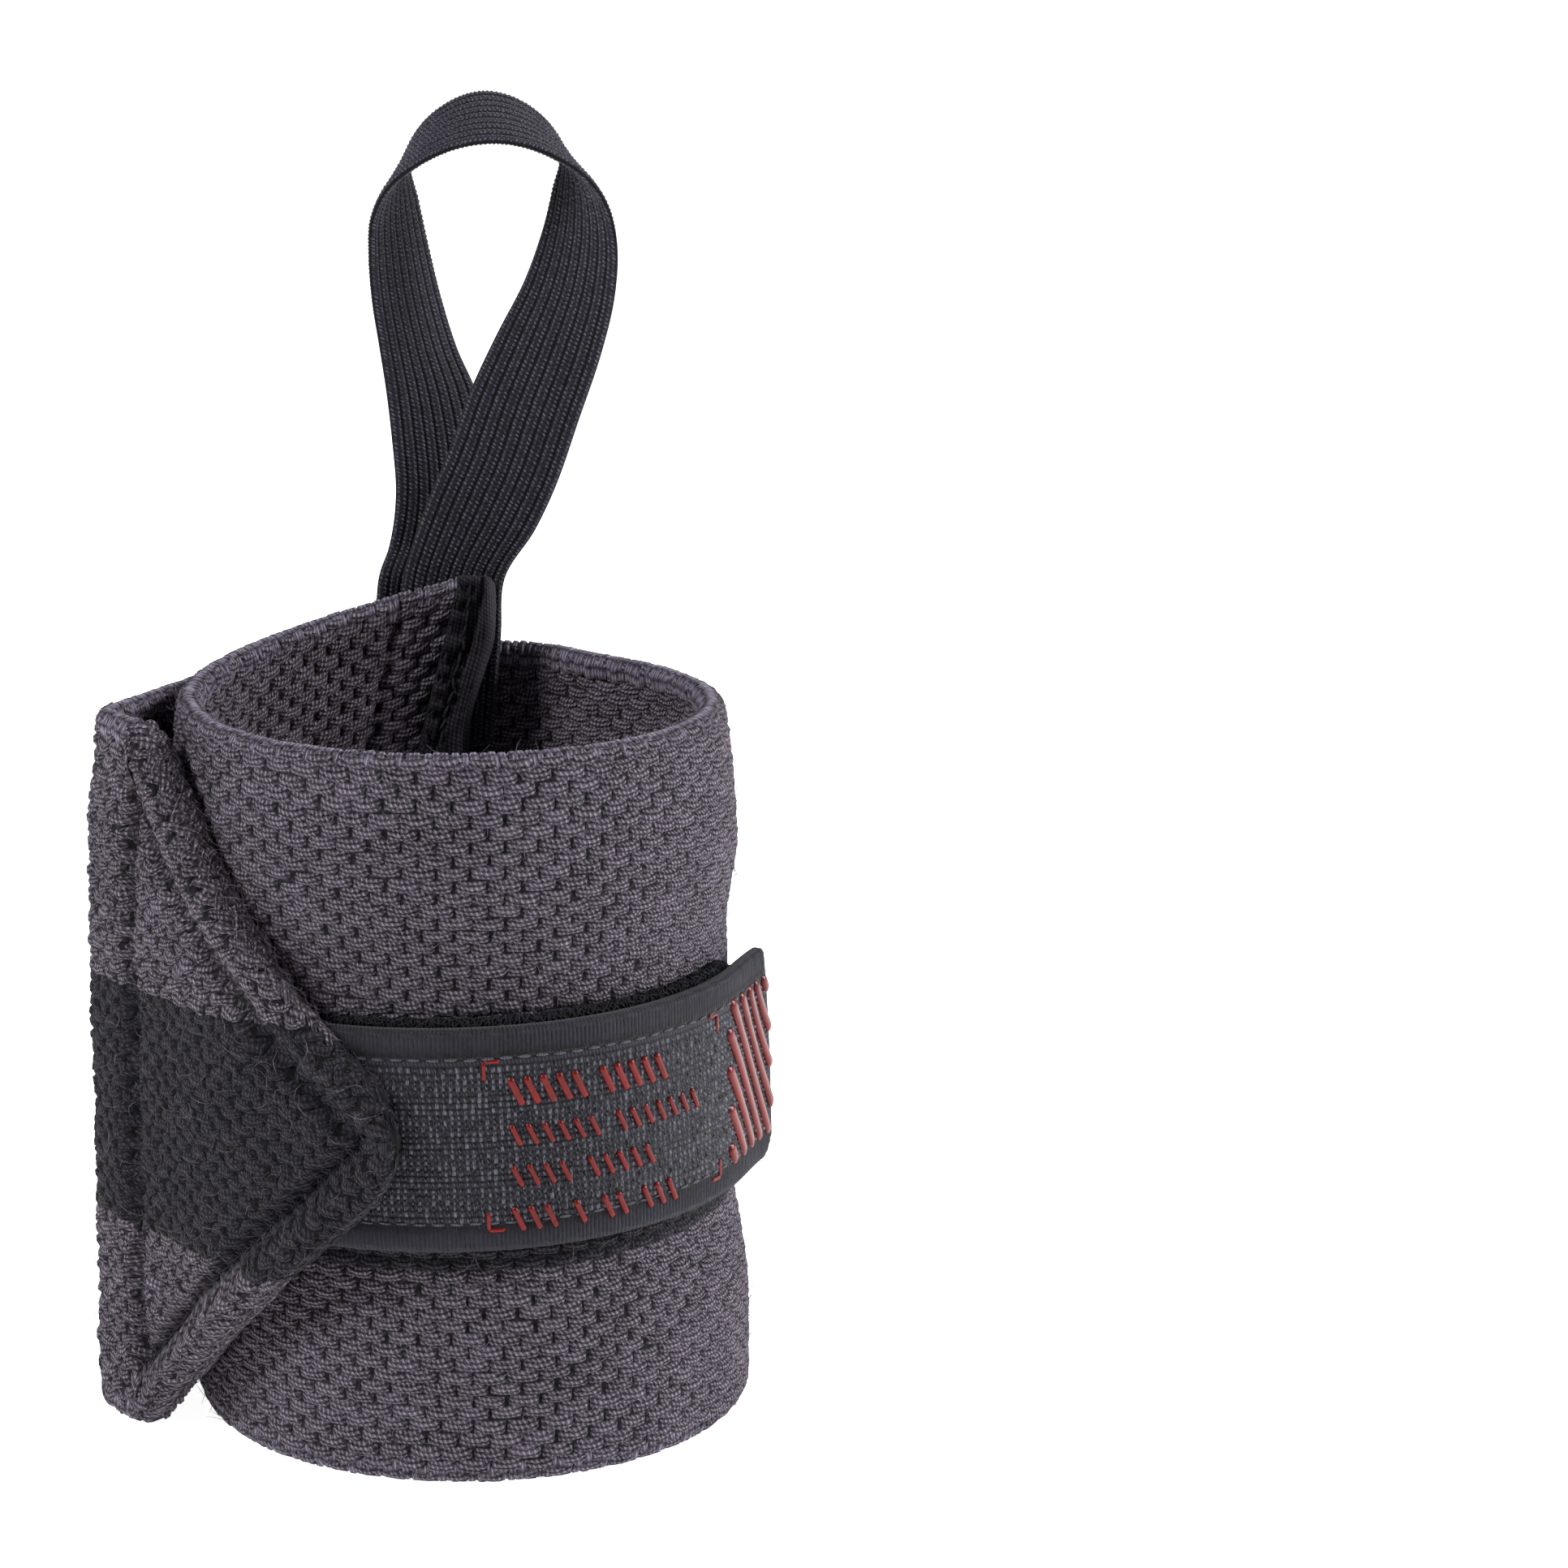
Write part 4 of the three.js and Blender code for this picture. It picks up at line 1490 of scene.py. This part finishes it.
@dataclass
class EndBinding(Maker):
    """The tape folded over the band's inner end and sewn on."""

    radius: float = TAPE_RADIUS
    half: float = 1.45
    wall: float = 1.0
    inside: float = 5.5
    outside: float = 0.5
    low: float = 7.6
    high: float = 89.2
    angle: float = 85.4
    oval: float = 0.35
    gather: float = 0.3
    gather_pitch: float = 2.6
    crease: float = 0.55
    crease_place: float = 3.5

    def reach(self, z: Array) -> Array:
        """Gives the width of the tape inside, which grows downwards."""
        return tape_reach(self.high - 1 - z)

    def place(self, t: Array, z: Array, h: Array) -> Array:
        """Puts places along and up the tape.

        Args:
            t: The distance from the inner side's end over the fold.
            z: The height.
            h: The distance off the tape's middle.

        Returns:
            The points.
        """
        r = self.half + self.wall / 2
        inside, slant = self.reach(z), end_slant(z)
        across = np.where(t < self.inside, t / self.inside * inside, t - self.inside + inside)
        turn = np.clip((across - inside) / r, 0, np.pi)
        past = np.maximum(across - inside - np.pi * r, 0)
        along = slant + np.where(across < inside, (inside - across) * (1 - slant / inside), past)
        out = (r + h) * -np.cos(turn)
        forward = along - (r + h) * np.sin(turn) * self.oval
        radius, angle = self.radius + out, np.radians(self.angle) + forward / self.radius
        return np.stack([radius * np.cos(angle) + lean(z), radius * np.sin(angle), z], -1)

    def lumps(self, t: Array, z: Array) -> Array:
        """Gives the tape's unevenness: gathers beside its edge and a crease next to them.

        Args:
            t: The distance from the inner side's end over the fold.
            z: The height.

        Returns:
            How far the tape is raised.
        """
        far = t / self.inside * self.reach(z)
        wave = np.sin(z * 2 * np.pi / self.gather_pitch + 1.4 * np.sin(z * 0.5))
        gathers = self.gather * wave * ease(3.2, 2.0, far)
        crease = np.exp(-(((far - self.crease_place) / 0.45) ** 2)) * (t < self.inside)
        crease = -self.crease * crease
        return gathers + crease + 0.3 * wobble(t, z, 41, 4) + 0.14 * wobble(t, z, 43, 1.4)

    def build(self) -> list[Piece]:
        """Makes the tape and its stitches.

        Returns:
            The pieces.
        """
        fold = math.pi * (self.half + self.wall / 2)
        total = self.inside + fold + self.outside
        t = np.linspace(0, total, 46)
        past = ease(self.inside + 0.5, self.inside + fold, t)
        heights = np.concatenate([
            [self.low, self.low + 0.15],
            np.arange(self.low + 0.5, self.high - 0.3, 0.5),
            [self.high - 0.15, self.high],
        ])
        rings = []
        for z in heights:
            near = min(z - self.low, self.high - z)
            half = self.wall / 2 * (0.5 + 0.5 * min(1, near / 0.5))
            level = z - 2.2 * past * max(0, z - 78) / 11.2
            front = self.place(t, level, half + self.lumps(t, np.full(len(t), z)))
            back = self.place(t, level, np.full(len(t), -half))
            rings.append(np.concatenate([front, back[::-1]]))
        points, quads, uv = ring_mesh(np.array(rings), heights, np.concatenate([t, t[::-1], [0]]))
        shape = points, quads, uv / [2.0, 0.6]
        tape = self.shop.body("binding_tape", shape, TAPE, "end_binding", "binding")
        tiling = Tiling(50, 2, 1.6, 2.0, jitter=0.15, turn=0.5, seed=51, start=(9.2, 0.6))
        flat = self.shop.lay(capsule_tile(1.5, 0.45, 0.5, 6, 4), tiling, DARK_THREAD_AND_SEAM_SHADE)

        def wrap(points: Array) -> Array:
            """Puts the stitches up the tape."""
            return self.place(points[:, 1], points[:, 0], points[:, 2] + self.wall / 2)

        seam = self.shop.pattern("binding_stitches", flat, wrap, DARK_THREAD_AND_SEAM_SHADE, "binding", True)
        return [tape, seam]


def spline(points: Array, share: Array) -> Array:
    """Follows a smooth line through points.

    Args:
        points: The points.
        share: Places from 0 at the first point to 1 at the last.

    Returns:
        The line's points.
    """
    count = len(points)
    padded = np.concatenate([[2 * points[0] - points[1]], points, [2 * points[-1] - points[-2]]])
    t = share * (count - 1)
    i = np.clip(np.floor(t).astype(int), 0, count - 2)
    w = (t - i)[:, None]
    p0, p1, p2, p3 = (padded[i + k] for k in range(4))
    pairs = ((p0, p1), (p1, p2), (p2, p3))
    d0, d1, d2 = (np.sqrt(np.linalg.norm(b - a, axis=1))[:, None] for a, b in pairs)
    t1 = ((p1 - p0) / d0 - (p2 - p0) / (d0 + d1) + (p2 - p1) / d1) * d1
    t2 = ((p2 - p1) / d1 - (p3 - p1) / (d1 + d2) + (p3 - p2) / d2) * d1
    c2 = -3 * p1 + 3 * p2 - 2 * t1 - t2
    c3 = 2 * p1 - 2 * p2 + t1 + t2
    return p1 + t1 * w + c2 * w**2 + c3 * w**3


@dataclass
class ThumbLoop(Maker):
    """The ribbed elastic that goes round the thumb."""

    thickness: float = 0.9
    width: float = 12.0
    ribs: int = 9
    rib_depth: float = 0.16
    sewn: float = 20.0
    sewn_top: float = 88.4
    over_angle: float = 87.9
    under_angle: float = 81.8
    fan: float = 4.0
    stations: tuple[tuple[float, ...], ...] = (
        (-9.9, 30.2, 91.5, 1.9, 32.0, 91.3), (-9.2, 30.0, 95.0, 2.4, 33.0, 94.6),
        (-8.9, 29.5, 98.9, 2.3, 33.9, 98.5), (-9.2, 28.9, 104.2, 1.6, 34.4, 104.1),
        (-9.7, 27.9, 110.1, 0.1, 34.9, 109.6), (-10.3, 26.4, 115.6, -2.1, 35.2, 114.5),
        (-11.0, 25.4, 121.2, -3.9, 35.2, 120.2), (-11.2, 24.5, 126.4, -5.3, 35.1, 125.9),
        (-10.8, 23.7, 130.6, -6.6, 34.9, 131.9), (-9.0, 23.3, 134.0, -7.6, 34.9, 136.4),
        (-5.7, 23.3, 136.7, -5.7, 34.7, 140.6), (-1.7, 23.5, 138.6, -1.8, 34.4, 143.6),
        (2.4, 23.5, 139.4, 1.6, 34.5, 144.4), (6.1, 23.4, 139.2, 5.3, 34.6, 143.4),
        (10.1, 23.2, 137.9, 8.7, 34.7, 140.6), (13.8, 23.2, 135.6, 10.2, 34.5, 137.2),
        (16.1, 23.8, 132.4, 9.4, 33.6, 133.8), (17.1, 24.8, 128.1, 8.2, 32.5, 128.9),
        (16.8, 26.5, 121.9, 6.1, 30.9, 123.0), (15.2, 27.9, 115.0, 3.0, 29.5, 117.0),
        (12.6, 28.6, 107.2, 0.0, 29.0, 110.6), (10.0, 28.9, 99.6, -2.6, 28.9, 103.4),
        (7.4, 28.9, 94.0, -5.2, 28.9, 97.2),
    )

    def sewn_edges(self, radius: float, flip: bool) -> Array:
        """Gives the edges of a sewn end on the band's outer face, from its end upwards.

        Args:
            radius: The ribbon's distance from the tube's axis.
            flip: Whether near and far change places.

        Returns:
            Rows of the near and the far edge.
        """
        rows = []
        for share in (0, 0.34, 0.67, 1):
            z = self.sewn_top - self.sewn * (1 - share)
            start = (self.under_angle if flip else self.over_angle) + self.fan * (1 - share)
            turns = np.radians([start + math.degrees(self.width / radius), start])
            edges = [[radius * np.cos(a) + lean(z), radius * np.sin(a), z] for a in turns]
            rows.append(np.concatenate(edges[::-1] if flip else edges))
        return np.array(rows)

    def __post_init__(self) -> None:
        """Lays out both edges, the normal and the bow along the ribbon."""
        under = TAPE_RADIUS + BAND_HALF + LAYER_GAP + self.thickness / 2
        over = under + self.thickness + LAYER_GAP
        first, last = self.sewn_edges(over, False), self.sewn_edges(under, True)[::-1]
        rows = np.concatenate([first, np.array(self.stations), last])
        curved = np.concatenate([np.ones(4), np.zeros(len(self.stations)), np.ones(4)])
        share = np.linspace(0, 1, 1400)
        near, far = spline(rows[:, :3], share), spline(rows[:, 3:], share)
        reach = distances((near + far) / 2)
        self.length = float(reach[-1])
        self.at = np.linspace(0, self.length, 800)
        even = np.interp(self.at, reach, share)
        near, far = spline(rows[:, :3], even), spline(rows[:, 3:], even)
        bend = np.interp(even * (len(rows) - 1), np.arange(len(rows)), curved)
        normal = np.cross(np.gradient((near + far) / 2, axis=0), far - near)
        normal /= np.linalg.norm(normal, axis=1)[:, None]
        wide = np.linalg.norm(far - near, axis=1)
        bow = bend * wide**2 / (8 * TAPE_RADIUS) * np.where(normal[:, 1] < 0, -1, 1)
        self.rows = np.concatenate([near, far, normal, bow[:, None]], axis=1)

    def place(self, x: Array, t: Array, side: float, h: Array) -> Array:
        """Puts places along and across the ribbon onto a face.

        Args:
            x: The distance along the ribbon.
            t: The share across it.
            side: 1 for one face, -1 for the other.
            h: The distance off the ribbed face.

        Returns:
            The points.
        """
        row = np.stack([np.interp(x, self.at, column) for column in self.rows.T], -1)
        rib = self.rib_depth * (np.abs(np.sin(np.pi * self.ribs * t)) ** 0.7 - 1)
        thin = 0.55 + 0.45 * ease(0, 0.06, np.minimum(t, 1 - t))
        off = 4 * t * (1 - t) * row[..., 9] + side * (self.thickness / 2 * thin + rib + h)
        wide = (row[..., 3:6] - row[..., :3]) * t[..., None]
        return row[..., :3] + wide + row[..., 6:9] * off[..., None]

    def beads(self, side: float) -> Piece:
        """Makes one face's woven beads.

        Args:
            side: 1 for one face, -1 for the other.

        Returns:
            The piece.
        """
        columns, pitch = self.ribs * 2, 0.5
        tiling = Tiling(
            int((self.length - 1) / pitch), columns, pitch, self.width / columns, shift=pitch / 2,
            jitter=0.03, turn=0.12, grow=0.08, seed=101, start=(0.5, 0.33),
        )
        flat = self.shop.lay(cushion_tile(pitch * 0.92, 0.5, 0.17, 2, 2), tiling, ELASTIC)

        def wrap(points: Array) -> Array:
            """Puts the beads onto the ribs."""
            return self.place(points[:, 0], points[:, 1] / self.width, side, points[:, 2] - 0.03)

        name = "loop_beads_a" if side > 0 else "loop_beads_b"
        return self.shop.pattern(name, flat, wrap, ELASTIC, "elastic", side < 0)

    def build(self) -> list[Piece]:
        """Makes the ribbon and its beads.

        Returns:
            The pieces.
        """
        places = np.linspace(0, self.length, int(self.length / 0.8))
        share = np.linspace(0, 1, self.ribs * 5 + 1)
        x, t = np.meshgrid(places, share, indexing="ij")
        top, low = self.place(x, t, 1.0, 0.0), self.place(x, t, -1.0, 0.0)
        rings = np.concatenate([top, low[:, ::-1]], axis=1)
        v = np.concatenate([share, share[::-1], [0]]) * self.ribs
        shape = ring_mesh(rings, places / 4.0, v)
        ribbon = self.shop.body("loop_ribbon", shape, ELASTIC_BASE, "thumb_loop", "elastic")
        rest = [self.beads(side) for side in (1.0, -1.0)]
        return [ribbon, *rest]


def stroke(line: Array, width: float, height: float) -> Flat:
    """Makes one raised bar along a flat line.

    Args:
        line: The line's points along and across.
        width: The bar's width.
        height: How far it stands up.

    Returns:
        The flat bar.
    """
    reach = distances(line)
    count = max(4, int(reach[-1] / 0.8) + 3)
    at = np.linspace(0, reach[-1], count)
    at = np.sort(np.concatenate([[0.02, reach[-1] - 0.02], at, [0.2, reach[-1] - 0.2]]))
    x, y = np.interp(at, reach, line[:, 0]), np.interp(at, reach, line[:, 1])
    dx, dy = np.gradient(x) + 1e-9, np.gradient(y)
    norm = np.hypot(dx, dy)
    side = np.stack([-dy / norm, dx / norm], -1)
    near = np.minimum(at, reach[-1] - at)
    swell = np.sqrt(np.clip(near / (0.25 * width), 0.06, 1))
    across = np.array([-0.5, -0.5, -0.3, 0.3, 0.5, 0.5])
    level = np.array([-0.6, 0.5, 0.95, 0.95, 0.5, -0.6])
    rings = np.zeros((len(at), len(level), 3))
    rings[:, :, 0] = x[:, None] + side[:, :1] * across * width * swell[:, None]
    rings[:, :, 1] = y[:, None] + side[:, 1:] * across * width * swell[:, None]
    rings[:, :, 2] = level * height * np.where(level > 0, swell[:, None], 1)
    points, quads, uv = ring_mesh(rings, at, np.linspace(0, 1, 7))
    return Flat(points, quads, uv, np.full(len(points), 0.5))


def merge(parts: list[Flat]) -> Flat:
    """Joins flat patterns into one.

    Args:
        parts: The patterns.

    Returns:
        The joined pattern.
    """
    starts = np.cumsum([0] + [len(part.points) for part in parts[:-1]])
    return Flat(
        np.concatenate([part.points for part in parts]),
        np.concatenate([part.quads + start for part, start in zip(parts, starts)]),
        np.concatenate([part.uv for part in parts]),
        np.concatenate([part.shade for part in parts]),
    )


@dataclass
class ClosureTab(Maker):
    """The woven label on its hook strip, with weave, stitches and raised print."""

    hook: TabCourse
    label: TabCourse
    border: float = 3.4
    rib_pitch: float = 0.46
    weave: tuple[float, float] = (0.73, 0.62)
    bars: int = 10
    hatches: tuple[tuple[float, float, float, tuple[int, ...]], ...] = (
        (17.7, 3.0, 0.72, (5, 5)), (12.9, 2.4, 0.55, (6, 7)), (8.4, 2.4, 0.55, (4, 5)),
        (3.9, 2.5, 0.6, (3, 1, 2, 3)),
    )

    def outer(self, points: Array) -> Array:
        """Puts flat points onto the label's outer face."""
        return self.label.place(points[:, 0], points[:, 1], 1.0, points[:, 2])

    def inner(self, points: Array) -> Array:
        """Puts flat points onto the hook strip's inner face."""
        return self.hook.place(points[:, 0], points[:, 1], -1.0, points[:, 2])

    def above(self, points: Array) -> Array:
        """Puts flat points a little above the hook strip's outer face."""
        return self.hook.place(points[:, 0], points[:, 1], 1.0, points[:, 2] + 0.1)

    def strip(self, name: str, course: TabCourse, look: Look, node: str, slot: str) -> Piece:
        """Makes one layer's closed body.

        Args:
            name: The piece's name.
            course: Where it runs.
            look: Its finish.
            node: The solid it stands for.
            slot: A name handed on to the workshop's body.

        Returns:
            The piece.
        """
        fine = course.length - 5.5
        places = np.concatenate([np.arange(0, fine, 0.8), np.linspace(fine, course.length, 14)])
        points, quads, uv, _ = course.body(places, 26)
        return self.shop.body(name, (points, quads, uv / [2.0, 0.73]), look, node, slot)

    def print_marks(self) -> Flat:
        """Draws the bars, the corner marks and the rows of dashes.

        Returns:
            The flat print.
        """
        parts = []
        left, right, low, high, steep = 50.2, 63.6, 3.3, 21.2, 1.6
        for i in range(self.bars):
            top = left - 10.4 + 2.75 * (i + 0.2)
            x = np.linspace(top, top + (high - low) / steep, 60)
            y = high - (x - top) * steep
            inside = (x > left) & (x < right)
            if inside.sum() > 6:
                parts.append(stroke(np.stack([x, y], -1)[inside], 1.3, 0.42))
        x0, x1, y0, y1 = 17.8, 47.6, 2.9, 20.9
        for x, y, dx, dy in ((x0, y1, 1, -1), (x0, y0, 1, 1), (x1, y1, -1, -1), (x1, y0, -1, 1)):
            line = np.array([[x, y + 1.9 * dy], [x, y], [x + 1.7 * dx, y]])
            parts += [stroke(line[:2], 0.42, 0.25), stroke(line[1:], 0.42, 0.25)]
        for y, tall, width, groups in self.hatches:
            x = x0 + 2.6
            for count in groups:
                for _ in range(count):
                    line = np.array([[x, y + tall / 2], [x + tall * 0.45, y - tall / 2]])
                    parts.append(stroke(line, width, 0.34))
                    x += 1.72
                x += 1.5
        return merge(parts)

    def build(self) -> list[Piece]:
        """Makes the tab's pieces.

        Returns:
            The pieces.
        """
        label, hook, edge, shop = self.label, self.hook, self.border, self.shop
        base = self.strip("hook_base", hook, HOOK, "hook_strip", "hook")
        cloth = self.strip("label_cloth", label, WEBBING, "closure_tab", "webbing")
        pitch, (wide, tall), sewn, loop, hair = self.rib_pitch, self.weave, 1.9, 0.8, 0.32
        ribs = Tiling(
            int(label.length / pitch) - 1, 2, pitch, label.width - edge, jitter=0.02, seed=61,
            start=(0.4, edge / 2),
        )
        weave = Tiling(
            int(label.length / wide) - 1, int((label.width - 2 * edge - 0.8) / tall), wide, tall,
            jitter=0.07, turn=0.12, grow=0.25, seed=71, start=(0.5, edge + 0.6),
        )
        stitches = Tiling(
            int(label.length / sewn) - 1, 2, sewn, label.width - 2 * edge - 0.5, jitter=0.05,
            turn=0.05, seed=81, start=(1.2, edge + 0.25),
        )
        pile = Tiling(
            int(hook.length / loop), int(hook.width / loop) - 1, loop, loop, shift=loop / 2,
            jitter=0.2, turn=2.0, grow=0.3, seed=91, start=(loop / 2, loop),
        )
        fringe = Tiling(
            int(hook.length / hair), 3, hair, 0.4, shift=hair / 2, jitter=0.2, turn=2.6,
            grow=0.3, seed=95, start=(0.4, hook.width - 0.9),
        )
        rows = (
            ("label_borders", cushion_tile(pitch * 0.95, edge, 0.16, 2, 5), ribs, WEBBING),
            ("label_weave", cushion_tile(wide * 0.42, tall * 0.86, 0.2, 2, 2), weave, FLECK),
            ("label_stitches", capsule_tile(1.3, 0.34, 0.4, 6, 4), stitches, THREAD),
        )
        on_label = [
            shop.pattern(name, shop.lay(tile, tiling, look), self.outer, look, "webbing")
            for name, tile, tiling, look in rows
        ]
        on_label.append(
            shop.pattern("label_print", self.print_marks(), self.outer, PRINT, "webbing")
        )
        flat = shop.lay(capsule_tile(0.55, 0.3, 0.5, 5, 3), pile, HOOK)
        on_hook = [shop.pattern("hook_pile", flat, self.inner, HOOK, "hook", True)]
        flat = shop.lay(capsule_tile(0.9, 0.15, 0.17, 5, 3), fringe, DARK_THREAD_AND_SEAM_SHADE)
        on_hook.append(shop.pattern("hook_fringe", flat, self.above, DARK_THREAD_AND_SEAM_SHADE, "hook"))
        for piece, course, rest in ((cloth, label, on_label), (base, hook, on_hook)):
            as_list(rest)
        return [base, *on_hook, cloth, *on_label]


@dataclass
class Studio:
    """The pale floor, the soft lights and the camera."""

    lens: float = 92.24
    floor_tone: float = 0.92
    floor_glow: float = 0.95
    sky_light: float = 0.14
    camera_place: tuple[float, float, float] = (0.03847, -0.43627, 0.17381)
    lamps: tuple[tuple[tuple[float, float, float], float, float], ...] = (
        ((-0.85, -0.5, 0.85), 0.45, 20.0),
        ((0.95, 0.05, 0.5), 0.45, 18.0),
        ((0.1, 0.8, 0.9), 0.9, 5.0),
    )

    def build(self) -> None:
        """Sets the stage and the view."""
        scene = bpy.context.scene
        scene.view_settings.view_transform = "Standard"
        mesh = bpy.data.meshes.new("floor")
        far = 12.0
        corners = [(-far, -far, 0), (far, -far, 0), (far, far, 0), (-far, far, 0)]
        mesh.from_pydata(corners, [], [(0, 1, 2, 3)])
        floor = bpy.data.objects.new("floor", mesh)
        paint = bpy.data.materials.new("floor_paint")
        paint.use_nodes = True
        n = Wiring(paint.node_tree)
        n.feed(n.tree.nodes["Principled BSDF"], {
            "Base Color": (self.floor_tone,) * 3,
            "Roughness": 0.9,
            "Emission Color": (1.0, 1.0, 1.0),
            "Emission Strength": self.floor_glow,
        })
        mesh.materials.append(paint)
        scene.collection.objects.link(floor)
        for i, (place, size, power) in enumerate(self.lamps):
            light = bpy.data.lights.new(f"softbox_{i}", "AREA")
            light.size = size
            light.energy = power
            lamp = bpy.data.objects.new(f"softbox_{i}", light)
            lamp.location = place
            aim = Vector((0, 0, 0.06)) - Vector(place)
            lamp.rotation_euler = aim.to_track_quat("-Z", "Y").to_euler()
            scene.collection.objects.link(lamp)
        world = bpy.data.worlds.new("studio_sky")
        world.use_nodes = True
        sky = world.node_tree.nodes["Background"]
        Wiring(world.node_tree).feed(sky, {"Color": (1.0, 1.0, 1.0), "Strength": self.sky_light})
        scene.world = world
        view = bpy.data.cameras.new("photo_view")
        view.lens = self.lens
        view.sensor_width = 36
        view.clip_start = 0.01
        eye = bpy.data.objects.new("photo_view", view)
        right = Vector((0.9999146, 0.0030047, 0.0127186))
        up = Vector((-0.0130687, 0.2298922, 0.9731284))
        turned = Matrix((right, up, right.cross(up))).transposed().to_4x4()
        eye.matrix_world = Matrix.Translation(self.camera_place) @ turned
        scene.collection.objects.link(eye)
        scene.camera = eye


def main() -> None:
    """Builds every piece in order and reports it."""
    logging.basicConfig(level=logging.INFO, format="%(name)s: %(message)s")
    shop = Workshop(GroupMaker(), Tiler())
    face = TUBE_RADIUS + BAND_HALF - TAB_PULL + LAYER_GAP
    hook = TabCourse(
        face, TAB_LAYER, width=24.6, drop=0.15, past=26.0, chamfer=3.0, corner=1.5
    )
    face += TAB_LAYER + LAYER_GAP
    label = TabCourse(face, TAB_LAYER, width=24.8, drop=0.7, past=25.2, chamfer=0.0, corner=1.7)
    band, tab = ElasticBand(shop, BandCourse()), ClosureTab(shop, hook, label)
    for maker in (band, EndBinding(shop), ThumbLoop(shop), tab):
        for made in maker.build():
            LOG.info("%s: %d faces", made.name, len(made.data.polygons))
    Studio().build()


if __name__ == "__main__":
    main()
